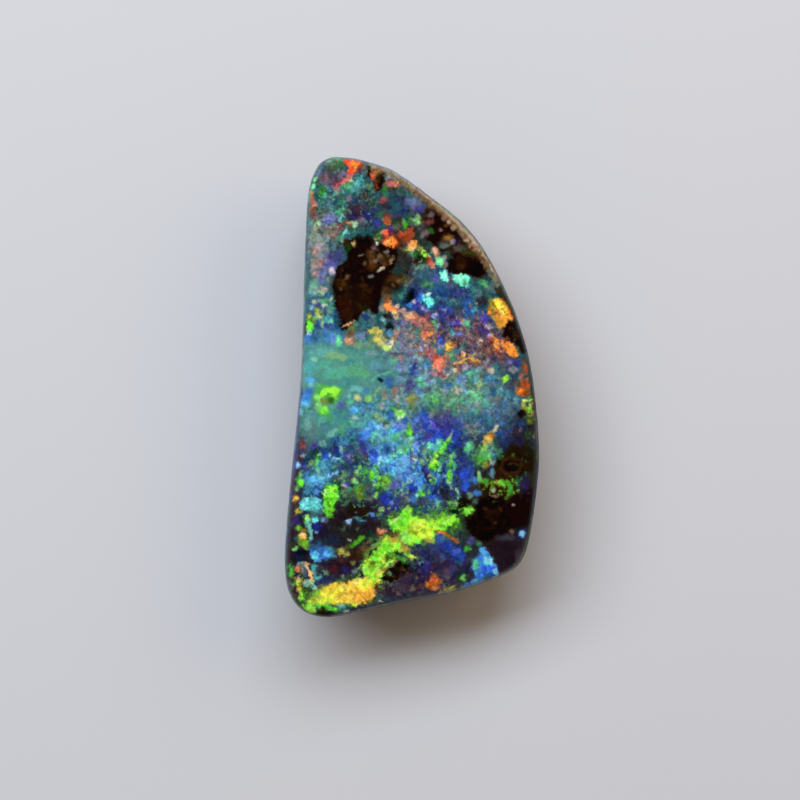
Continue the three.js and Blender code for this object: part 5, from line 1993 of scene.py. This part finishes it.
# ================================================================ the mesh
def catmull(points, n):
    """Closed centripetal Catmull-Rom curve through the points, n points evenly along it."""
    p = np.array(points, float)
    m = len(p)
    dense = []
    for i in range(m):
        p0, p1, p2, p3 = p[(i - 1) % m], p[i], p[(i + 1) % m], p[(i + 2) % m]
        t1 = math.sqrt(np.linalg.norm(p1 - p0))
        t2 = t1 + math.sqrt(np.linalg.norm(p2 - p1))
        t3 = t2 + math.sqrt(np.linalg.norm(p3 - p2))
        for k in range(40):
            t = t1 + (t2 - t1) * k / 40
            a1 = p0 * (t1 - t) / t1 + p1 * t / t1
            a2 = p1 * (t2 - t) / (t2 - t1) + p2 * (t - t1) / (t2 - t1)
            a3 = p2 * (t3 - t) / (t3 - t2) + p3 * (t - t2) / (t3 - t2)
            b1 = a1 * (t2 - t) / t2 + a2 * t / t2
            b2 = a2 * (t3 - t) / (t3 - t1) + a3 * (t - t1) / (t3 - t1)
            dense.append(b1 * (t2 - t) / (t2 - t1) + b2 * (t - t1) / (t2 - t1))
    dense = np.array(dense)
    closed = np.vstack([dense, dense[:1]])
    seg = np.hypot(*np.diff(closed, axis=0).T)
    run = np.concatenate([[0], np.cumsum(seg)])
    at = np.linspace(0, run[-1], n, endpoint=False)
    return np.stack([np.interp(at, run, closed[:, 0]), np.interp(at, run, closed[:, 1])], 1)

rim = catmull(OUTLINE, AROUND)[::-1].copy()          # counter-clockwise
low, high = rim.min(0), rim.max(0)
rim = (rim - (low + high) / 2) * np.array([WIDTH, LENGTH]) / (high - low)
step = np.roll(rim, -1, 0) - np.roll(rim, 1, 0)
out = np.stack([step[:, 1], -step[:, 0]], 1)
out /= np.linalg.norm(out, axis=1)[:, None]
ARC = np.concatenate([[0], np.cumsum(np.hypot(*(np.roll(rim, -1, 0) - rim).T))[:-1]])
PERIMETER = ARC[-1] + np.hypot(*(rim[0] - rim[-1]))

def girdle_z(x, y):
    return GIRDLE_Z + GIRDLE_WAVE * np.sin(0.42 * y + 0.5 * x + 0.6)

def undercut(x, y):
    return UNDERCUT + 0.1 * np.sin(0.9 * y + 0.7 * x) + UNDERCUT_HEEL * smooth(5.5, 8.2, -y)

edge = rim - out * RIM_INSET                           # where the face turns over
rel = edge - np.array(APEX)
edge_angle = np.unwrap(np.arctan2(rel[:, 1], rel[:, 0]))
edge_radius = np.hypot(rel[:, 0], rel[:, 1])
order = np.argsort(edge_angle)
ea, er = edge_angle[order], edge_radius[order]
ea3 = np.concatenate([ea - 2 * math.pi, ea, ea + 2 * math.pi])
er3 = np.concatenate([er, er, er])

def share_of(x, y):
    dx, dy = x - APEX[0], y - APEX[1]
    return np.hypot(dx, dy) / np.interp(np.arctan2(dy, dx), ea3, er3)

def face_z(share):
    return FACE_EDGE_Z + (THICKNESS - FACE_EDGE_Z) * (1 - np.power(np.clip(share, 0, 1), 2.1))

# ---- face points: a close triangular grid inside the edge, and the edge itself
rows = np.arange(-8.6, 8.6, SPACING * math.sqrt(3) / 2)
cols = np.arange(-4.8, 4.8, SPACING)
gx, gy = np.meshgrid(cols, rows)
gx = gx + (np.arange(len(rows)) % 2)[:, None] * SPACING / 2
inner = rim - out * (RIM_INSET + SPACING * 0.6)
inside = poly_inside(gx.ravel(), gy.ravel(), inner)
fx, fy = gx.ravel()[inside], gy.ravel()[inside]
# The grid is shaken a little, so that no rows show.
fx = fx + 0.22 * SPACING * (2 * _hash(np.round(fx * 1000), np.round(fy * 1000), 7) - 1)
fy = fy + 0.22 * SPACING * (2 * _hash(np.round(fx * 1000), np.round(fy * 1000), 8) - 1)
tri_points = [Vector((float(a), float(b))) for a, b in edge] + [Vector((float(a), float(b))) for a, b in zip(fx, fy)]
_, _, face_tris, _, _, _ = delaunay_2d_cdt(tri_points, [(k, (k + 1) % AROUND) for k in range(AROUND)], [], 1, 1e-7, False)

def drop_outside(tris, points, loop):
    """Leave out the slivers that bridge hollows of the outline, whose corners all lie on it."""
    tris = np.array(tris, int)
    p = np.array([(q[0], q[1]) for q in points])
    mid = p[tris].mean(1)
    return tris[~((tris < AROUND).all(1) & ~poly_inside(mid[:, 0], mid[:, 1], loop))]

face_tris = drop_outside(face_tris, tri_points, edge)

px_of = lambda x: PX_X + PX * x
py_of = lambda y: PX_Y - PX * y

face_xy = np.vstack([edge, np.stack([fx, fy], 1)])
face_sheet = paint_face(px_of(face_xy[:, 0]), py_of(face_xy[:, 1]))
face_share = share_of(face_xy[:, 0], face_xy[:, 1])
face_share[:AROUND] = 1.0
fpx, fpy = px_of(face_xy[:, 0]), py_of(face_xy[:, 1])
iron = np.clip(face_sheet.iron, 0, 1)
near_edge = smooth(0.0, 0.06, 1 - face_share)
# Ironstone is pitted and lies a little below the polish; the opal is nearly flat, with faint drag marks.
pits = fractal(fpx, fpy, 7.0, 501, 3)
grains = fractal(fpx, fpy, 2.6, 511, 2)
sink = iron * (0.006 + 0.016 * smooth(0.5, 0.8, pits) + 0.001 * grains)
sink += (1 - iron) * 0.0016 * fractal(fpx, fpy, 9.0, 521, 2)
face_zv = face_z(face_share) - np.clip(sink, 0, 0.2) * near_edge

# ---- rim and side rings
rings_xy, rings_z, rings_v = [], [], []
g = girdle_z(rim[:, 0], rim[:, 1])
u = undercut(rim[:, 0], rim[:, 1])
side_px, side_v = ARC * PX, None
# The rim starts at the slope that the dome has there, so the polish runs over it without a crease.
fall = 2.1 * (THICKNESS - FACE_EDGE_Z) / np.maximum((rel * out).sum(1), 1.0)
a0 = np.arctan(fall * RIM_INSET / (FACE_EDGE_Z - g))
for turn in (0.1, 0.2, 0.32, 0.45, 0.58, 0.72, 0.86, 1.0):
    a = a0 + turn * (math.pi / 2 - a0)
    across = (np.sin(a) - np.sin(a0)) / (1 - np.sin(a0))
    rings_xy.append(rim - out * (RIM_INSET * (1 - across))[:, None])
    rings_z.append(g + (FACE_EDGE_Z - g) * np.cos(a) / np.cos(a0))
    rings_v.append(np.full(AROUND, 0.85 * turn))
DROPS = (0.06, 0.12, 0.18, 0.24, 0.3, 0.37, 0.44, 0.51, 0.58, 0.65, 0.72, 0.79, 0.86, 0.93, 1.0)
arc_px = ARC * PX
for drop in DROPS:
    inset = 0.03 * u * drop + 0.97 * u * max(0.0, (drop - 0.12) / 0.88) ** 1.35
    zz = g + (BASE_ROUND - g) * drop
    # The ironstone below the seam is rough ground and hollowed in places, never proud of the solid.
    deep = smooth(0.12, 0.4, drop) * smooth(1.04, 0.9, drop) if drop < 1 else 0.0
    wave = fractal(np.cos(2 * math.pi * ARC / PERIMETER) * 150 + 40, np.sin(2 * math.pi * ARC / PERIMETER) * 150 + zz * PX * 1.3, 22.0, 601, 3)
    fine = fractal(np.cos(2 * math.pi * ARC / PERIMETER) * 190, np.sin(2 * math.pi * ARC / PERIMETER) * 190 + zz * PX * 2.0, 6.0, 611, 2)
    inset = inset + deep * (0.16 * smooth(0.4, 0.75, wave) + 0.05 * fine)
    rings_xy.append(rim - out * np.asarray(inset).reshape(-1, 1) if np.ndim(inset) else rim - out * inset)
    rings_z.append(zz)
    rings_v.append(0.85 + (g - zz))
rings_xy.append(rim - out * (u + BASE_ROUND * 0.55)[:, None]); rings_z.append(np.full(AROUND, BASE_ROUND * 0.22)); rings_v.append(0.85 + g)
rings_xy.append(rim - out * (u + BASE_ROUND)[:, None]); rings_z.append(np.zeros(AROUND)); rings_v.append(0.85 + g + 0.12)
R = len(rings_xy)

# ---- the flat ground back, a coarser grid
base_edge = rings_xy[-1]
bs = 0.16
rows = np.arange(-8.6, 8.6, bs * math.sqrt(3) / 2)
cols = np.arange(-4.8, 4.8, bs)
gx, gy = np.meshgrid(cols, rows)
gx = gx + (np.arange(len(rows)) % 2)[:, None] * bs / 2
inside = poly_inside(gx.ravel(), gy.ravel(), rim - out * (u + BASE_ROUND + 0.09)[:, None])
bx, by = gx.ravel()[inside], gy.ravel()[inside]
base_points = [Vector((float(a), float(b))) for a, b in base_edge] + [Vector((float(a), float(b))) for a, b in zip(bx, by)]
_, _, base_tris, _, _, _ = delaunay_2d_cdt(base_points, [(k, (k + 1) % AROUND) for k in range(AROUND)], [], 1, 1e-7, False)
base_tris = drop_outside(base_tris, base_points, base_edge)

# ---- all together
nf = len(face_xy)
verts = [np.column_stack([face_xy, face_zv])]
for xy, z in zip(rings_xy, rings_z):
    verts.append(np.column_stack([xy, np.broadcast_to(z, AROUND)]))
verts.append(np.column_stack([bx, by, np.zeros(len(bx))]))
verts = np.vstack(verts)
ring_start = [0] + [nf + AROUND * r for r in range(R)]
tris, zone = [], []                                     # zone: 0 face, 1 side, 2 back
area = np.cross(verts[face_tris[:, 1], :2] - verts[face_tris[:, 0], :2], verts[face_tris[:, 2], :2] - verts[face_tris[:, 0], :2])
face_tris = np.where((area < 0)[:, None], face_tris[:, ::-1], face_tris)
tris.append(face_tris); zone.append(np.zeros(len(face_tris), int))
i = np.arange(AROUND); j = (i + 1) % AROUND
for r in range(R):
    a, b = ring_start[r], ring_start[r + 1]
    tris.append(np.column_stack([a + i, b + i, b + j])); zone.append(np.ones(AROUND, int))
    tris.append(np.column_stack([a + i, b + j, a + j])); zone.append(np.ones(AROUND, int))
last = ring_start[-1]
bt = np.where(base_tris < AROUND, base_tris + last, base_tris - AROUND + nf + AROUND * R)
area = np.cross(verts[bt[:, 1], :2] - verts[bt[:, 0], :2], verts[bt[:, 2], :2] - verts[bt[:, 0], :2])
bt = np.where((area > 0)[:, None], bt[:, ::-1], bt)
tris.append(bt); zone.append(np.full(len(bt), 2))
tris = np.vstack(tris); zone = np.concatenate(zone)
print('triangles', len(tris), 'vertices', len(verts))

mesh = bpy.data.meshes.new('boulder_opal_stone')
mesh.vertices.add(len(verts)); mesh.vertices.foreach_set('co', (verts * MM).astype(np.float32).ravel())
mesh.loops.add(len(tris) * 3); mesh.loops.foreach_set('vertex_index', tris.astype(np.int32).ravel())
mesh.polygons.add(len(tris)); mesh.polygons.foreach_set('loop_start', np.arange(0, len(tris) * 3, 3, dtype=np.int32))
mesh.polygons.foreach_set('loop_total', np.full(len(tris), 3, np.int32))
mesh.polygons.foreach_set('use_smooth', np.ones(len(tris), bool))
mesh.update(calc_edges=True)

# ---- colours of the side: opal seam above, brown ironstone below
side_v_all = np.concatenate([np.broadcast_to(v, AROUND) for v in rings_v])
side_arc = np.tile(ARC, R)
side_xy = np.vstack(rings_xy)
side_fire, side_host, side_iron = paint_side(side_arc, side_v_all, side_xy)
back_rgb = paint_back(px_of(bx), py_of(by))
face_rgb = np.clip(face_sheet.rgb, 0, 1)
fire = np.vstack([face_rgb, side_fire, back_rgb])
host = np.vstack([face_rgb, side_host, back_rgb])
irn = np.concatenate([iron, side_iron, np.ones(len(bx))])
flank = np.concatenate([np.zeros(nf), smooth(0.12, 0.8, side_v_all), np.ones(len(bx))])

def paint_layer(name, rgb):
    lin = np.where(rgb <= 0.04045, rgb / 12.92, ((rgb + 0.055) / 1.055) ** 2.4) / GAIN
    lin = np.clip(lin * np.array(SHARE) - np.array(VEIL), 0.001, 1)
    layer = mesh.attributes.new(name, 'FLOAT_COLOR', 'POINT')
    layer.data.foreach_set('color', np.column_stack([lin, np.ones(len(lin))]).astype(np.float32).ravel())

def mask_layer(name, values):
    layer = mesh.attributes.new(name, 'FLOAT', 'POINT')
    layer.data.foreach_set('value', values.astype(np.float32))

paint_layer('tint', fire)
paint_layer('host', host)
mask_layer('iron', irn)
mask_layer('flank', flank)

# ---- one flat layout for the baked pictures: face, side strip in four lengths, back
uv = np.zeros((len(tris), 3, 2))
SF = 0.9265 / 17.0
f = zone == 0
t = tris[f]
uv[f, :, 0] = 0.012 + (verts[t, 0] + WIDTH / 2) * SF
uv[f, :, 1] = 0.036 + (verts[t, 1] + LENGTH / 2) * SF
b = zone == 2
t = tris[b]
uv[b, :, 0] = 0.545 + (LENGTH / 2 + verts[t, 1]) * 0.0258
uv[b, :, 1] = 0.70 + (WIDTH / 2 + verts[t, 0]) * 0.0258
s = np.nonzero(zone == 1)[0]
per_vertex_v = np.concatenate([np.zeros(nf), side_v_all, np.zeros(len(bx))])
t = tris[s]
col_of = np.concatenate([np.full(nf, -1), np.tile(np.arange(AROUND), R), np.full(len(bx), -1)])
col_of[:AROUND] = np.arange(AROUND)
c = col_of[t]                                           # column numbers of the three corners
wrap = (c.max(1) - c.min(1)) > AROUND // 2
c = np.where(wrap[:, None] & (c == 0), AROUND, c)
first = c.min(1)
quarter = np.clip(first // (AROUND // 4), 0, 3)
along = (c - quarter[:, None] * (AROUND // 4)) / (AROUND / 4)
uv[s, :, 0] = 0.545 + along * 0.44
uv[s, :, 1] = 0.022 + quarter[:, None] * 0.165 + per_vertex_v[t] / 4.0 * 0.15
layer = mesh.uv_layers.new(name='OFBake')
layer.data.foreach_set('uv', uv.astype(np.float32).ravel())
mesh.validate()

stone = bpy.data.objects.new('boulder_opal_stone', mesh)
bpy.context.scene.collection.objects.link(stone)


# ================================================================ material
def stone_material():
    m = bpy.data.materials.new('opal_and_ironstone')
    m.use_nodes = True
    nt = m.node_tree
    nt.nodes.clear()
    N = nt.nodes.new
    L = nt.links.new
    outn = N('ShaderNodeOutputMaterial'); outn.location = (1200, 0)
    bsdf = N('ShaderNodeBsdfPrincipled'); bsdf.location = (900, 0)
    L(bsdf.outputs[0], outn.inputs[0])
    bsdf.inputs['IOR'].default_value = 1.43
    tint = N('ShaderNodeAttribute'); tint.attribute_name = 'tint'; tint.location = (-900, 300)
    host = N('ShaderNodeAttribute'); host.attribute_name = 'host'; host.location = (-900, 150)
    iron_at = N('ShaderNodeAttribute'); iron_at.attribute_name = 'iron'; iron_at.location = (-900, 0)
    flank = N('ShaderNodeAttribute'); flank.attribute_name = 'flank'; flank.location = (-900, -150)
    pos = N('ShaderNodeTexCoord'); pos.location = (-1400, 0)

    def noise(scale, detail, rough, loc):
        n = N('ShaderNodeTexNoise')
        n.inputs['Scale'].default_value = scale
        n.inputs['Detail'].default_value = detail
        n.inputs['Roughness'].default_value = rough
        n.location = loc
        L(pos.outputs['Object'], n.inputs['Vector'])
        return n

    def ramp(src, a, b, lo, hi, loc):
        r = N('ShaderNodeMapRange')
        r.inputs['From Min'].default_value = a
        r.inputs['From Max'].default_value = b
        r.inputs['To Min'].default_value = lo
        r.inputs['To Max'].default_value = hi
        r.location = loc
        L(src, r.inputs['Value'])
        return r.outputs['Result']

    def maths(op, a, b, loc):
        n = N('ShaderNodeMath'); n.operation = op; n.location = loc
        for s, v in zip(n.inputs, (a, b)):
            if isinstance(v, (int, float)):
                s.default_value = v
            else:
                L(v, s)
        return n.outputs[0]

    def blend(fac, a, b, loc, kind='RGBA'):
        n = N('ShaderNodeMix'); n.data_type = kind; n.location = loc
        base = 6 if kind == 'RGBA' else 2
        for s, v in ((n.inputs[0], fac), (n.inputs[base], a), (n.inputs[base + 1], b)):
            if isinstance(v, (int, float)):
                s.default_value = v
            elif isinstance(v, tuple):
                s.default_value = v
            else:
                L(v, s)
        return n.outputs[2 if kind == 'RGBA' else 0]

    def times(col, f, loc):
        n = N('ShaderNodeVectorMath'); n.operation = 'SCALE'; n.location = loc
        L(col, n.inputs[0])
        L(f, n.inputs['Scale'])
        return n.outputs[0]

    # On the flank the line between seam and ironstone is ragged at a finer scale than the mesh.
    ragged = noise(2600, 4.0, 0.62, (-1700, -200))
    lift = ramp(ragged.outputs[0], 0.25, 0.75, -0.32, 0.32, (-1400, -200))
    sharp = ramp(maths('ADD', iron_at.outputs['Fac'], lift, (-1200, -200)), 0.46, 0.54, 0.0, 1.0, (-1000, -300))
    iron = blend(flank.outputs['Fac'], iron_at.outputs['Fac'], sharp, (-700, -60), 'FLOAT')

    # Pinpoint play of light and dark inside the fire, finer than the mesh.
    fine = noise(16000, 2.0, 0.6, (-900, 600))
    tiny = noise(36000, 1.0, 0.5, (-900, 850))
    f1 = ramp(fine.outputs[0], 0.3, 0.7, 0.86, 1.14, (-600, 600))
    f2 = ramp(tiny.outputs[0], 0.3, 0.7, 0.93, 1.07, (-600, 850))
    face_col = times(tint.outputs['Color'], maths('MULTIPLY', f1, f2, (-400, 700)), (-200, 500))

    # Flakes of fire in the side of the seam: scattered cells, each turned a little in hue and brightness.
    def flakes(size, hue, dim, bright, col, loc):
        drift = noise(1 / size * 0.8, 2.0, 0.5, (loc[0] - 600, loc[1]))
        shift = N('ShaderNodeVectorMath'); shift.operation = 'MULTIPLY_ADD'; shift.location = (loc[0] - 400, loc[1])
        L(drift.outputs['Color'], shift.inputs[0])
        shift.inputs[1].default_value = (size * 1.1,) * 3
        L(pos.outputs['Object'], shift.inputs[2])
        v = N('ShaderNodeTexVoronoi'); v.location = (loc[0] - 200, loc[1])
        v.inputs['Scale'].default_value = 1 / size
        L(shift.outputs[0], v.inputs['Vector'])
        part = N('ShaderNodeSeparateColor'); part.location = loc
        L(v.outputs['Color'], part.inputs[0])
        n = N('ShaderNodeHueSaturation'); n.location = (loc[0] + 200, loc[1])
        L(ramp(part.outputs[0], 0, 1, 0.5 - hue, 0.5 + hue, (loc[0] + 60, loc[1] - 150)), n.inputs['Hue'])
        L(ramp(part.outputs[1], 0, 1, dim, bright, (loc[0] + 60, loc[1] - 300)), n.inputs['Value'])
        n.inputs['Saturation'].default_value = 1.12
        L(flank.outputs['Fac'], n.inputs['Fac'])
        L(col, n.inputs['Color'])
        return n.outputs[0]

    fire = flakes(0.00034, 0.07, 0.5, 1.6, face_col, (-1700, 1400))
    fire = flakes(0.00013, 0.06, 0.55, 1.6, fire, (-1700, 2000))

    # Ironstone of the flank and the back: mottled brown with rust, pale limonite specks and thin threads of blue opal.
    mottle = noise(2100, 6.0, 0.66, (-1700, 2600))
    dark = times(host.outputs['Color'], ramp(mottle.outputs[0], 0.3, 0.7, 0.42, 1.65, (-1400, 2600)), (-1100, 2600))
    rusty = noise(1300, 5.0, 0.6, (-1700, 2900))
    rust = blend(ramp(rusty.outputs[0], 0.54, 0.66, 0.0, 0.42, (-1400, 2900)), dark, (0.16, 0.066, 0.026, 1), (-900, 2700))
    limon = noise(4200, 3.0, 0.55, (-1700, 3200))
    speck = blend(ramp(limon.outputs[0], 0.66, 0.72, 0.0, 0.6, (-1400, 3200)), rust, (0.30, 0.21, 0.135, 1), (-700, 2800))
    thread = noise(420, 2.5, 0.45, (-1700, 3500))
    near = maths('ABSOLUTE', maths('SUBTRACT', thread.outputs[0], 0.5, (-1400, 3500)), 0.0, (-1200, 3500))
    gate = noise(1500, 2.0, 0.5, (-1700, 3800))
    on = maths('MULTIPLY', ramp(near, 0.002, 0.006, 0.4, 0.0, (-1000, 3500)), ramp(gate.outputs[0], 0.56, 0.62, 0.0, 1.0, (-1400, 3800)), (-800, 3500))
    threads = blend(on, speck, (0.03, 0.12, 0.20, 1), (-500, 2900))

    rock = blend(flank.outputs['Fac'], face_col, threads, (-300, 1200))
    whole = blend(maths('MULTIPLY', iron, flank.outputs['Fac'], (-300, 900)), fire, rock, (0, 700))
    L(whole, bsdf.inputs['Base Color'])

    # Polished opal is glassy; ironstone and the ground sides are duller and uneven.
    wear = noise(4000, 3.0, 0.6, (-900, -500))
    opal_r = ramp(wear.outputs[0], 0.3, 0.75, 0.05, 0.13, (-600, -400))
    iron_r = ramp(wear.outputs[0], 0.3, 0.7, 0.30, 0.52, (-600, -650))
    mixr = N('ShaderNodeMix'); mixr.data_type = 'FLOAT'; mixr.location = (-300, -400)
    L(iron, mixr.inputs['Factor'])
    L(opal_r, mixr.inputs[2]); L(iron_r, mixr.inputs[3])
    L(mixr.outputs[0], bsdf.inputs['Roughness'])

    # Glassy opal mirrors more of the room than the duller ironstone does.
    mixs = N('ShaderNodeMix'); mixs.data_type = 'FLOAT'; mixs.location = (-300, -150)
    L(iron, mixs.inputs['Factor'])
    mixs.inputs[2].default_value = 0.42
    mixs.inputs[3].default_value = 0.07
    bsdf.inputs['Specular IOR Level'].default_value = 0.3
    L(mixs.outputs[0], bsdf.inputs['Specular IOR Level'])

    grit = noise(14000, 4.0, 0.65, (-900, -850))
    swell = noise(1500, 2.0, 0.5, (-900, -1100))
    h1 = maths('MULTIPLY', grit.outputs[0], iron, (-500, -850))
    h1 = maths('MULTIPLY', h1, 0.9, (-350, -850))
    h2 = maths('MULTIPLY', swell.outputs[0], 0.05, (-500, -1100))
    h = maths('ADD', h1, h2, (-200, -950))
    bump = N('ShaderNodeBump'); bump.location = (300, -700)
    bump.inputs['Strength'].default_value = 0.4
    bump.inputs['Distance'].default_value = 0.000008
    L(h, bump.inputs['Height'])
    L(bump.outputs[0], bsdf.inputs['Normal'])
    return m

stone.data.materials.append(stone_material())
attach(stone, "root")
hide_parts("boulder_opal")


# ================================================================ floor, light and camera
def floor_material():
    m = bpy.data.materials.new('pale_floor')
    m.use_nodes = True
    nt = m.node_tree
    b = nt.nodes['Principled BSDF']
    b.inputs['Base Color'].default_value = FLOOR_COLOUR
    b.inputs['Roughness'].default_value = 0.9
    b.inputs['Specular IOR Level'].default_value = 0.1
    return m

fm = bpy.data.meshes.new('floor')
S = 0.6
fm.from_pydata([(-S, -S, 0), (S, -S, 0), (S, S, 0), (-S, S, 0)], [], [(0, 1, 2, 3)])
floor = bpy.data.objects.new('floor', fm)
floor.data.materials.append(floor_material())
bpy.context.scene.collection.objects.link(floor)

world = bpy.data.worlds.new('studio')
bpy.context.scene.world = world
world.use_nodes = True
wt = world.node_tree
wt.nodes.clear()
wo = wt.nodes.new('ShaderNodeOutputWorld')
bg = wt.nodes.new('ShaderNodeBackground')
tc = wt.nodes.new('ShaderNodeTexCoord')
sep = wt.nodes.new('ShaderNodeSeparateXYZ')
rampn = wt.nodes.new('ShaderNodeValToRGB')
wt.links.new(tc.outputs['Generated'], sep.inputs[0])
wt.links.new(sep.outputs['Z'], rampn.inputs[0])
wt.links.new(rampn.outputs[0], bg.inputs[0])
wt.links.new(bg.outputs[0], wo.inputs[0])
cr = rampn.color_ramp
cr.elements[0].position = 0.0
cr.elements[0].color = WORLD[0][1]
cr.elements[1].position = 1.0
cr.elements[1].color = WORLD[-1][1]
for p, c in WORLD[1:-1]:
    e = cr.elements.new(p)
    e.color = c
bg.inputs[1].default_value = WORLD_STRENGTH

def area_light(name, place, size, power, colour, size_y=None):
    d = bpy.data.lights.new(name, 'AREA')
    d.shape = 'RECTANGLE'
    d.size = size
    d.size_y = size_y or size
    d.energy = power
    d.color = colour
    o = bpy.data.objects.new(name, d)
    o.location = place
    aim = Vector((0, 0, 0.002)) - Vector(place)
    o.rotation_euler = aim.to_track_quat('-Z', 'Y').to_euler()
    o.visible_glossy = False            # no hard-edged mirror image of the light in the polish
    bpy.context.scene.collection.objects.link(o)
    return o

for spec in LIGHTS:
    area_light(*spec)

cam_data = bpy.data.cameras.new('camera')
cam = bpy.data.objects.new('camera', cam_data)
bpy.context.scene.collection.objects.link(cam)
bpy.context.scene.camera = cam
cam_data.sensor_width = 36.0
cam_data.lens = 100.0
cam_data.clip_start = 0.001
cam_data.clip_end = 5.0
# Straight down, the picture's top towards +Y. 800 units across are 29.63 mm at the height of the face.
cx, cy = (400 - PX_X) / PX * MM, (PX_Y - 399.4) / PX * MM
wide = 800 / (PX * 1.0015) * MM
height = wide * cam_data.lens / cam_data.sensor_width
cam.location = (cx, cy, 0.00275 + height)
cam.rotation_euler = (0, 0, 0)
bpy.context.scene.view_settings.view_transform = 'Standard'
bpy.context.scene.view_settings.look = 'None'
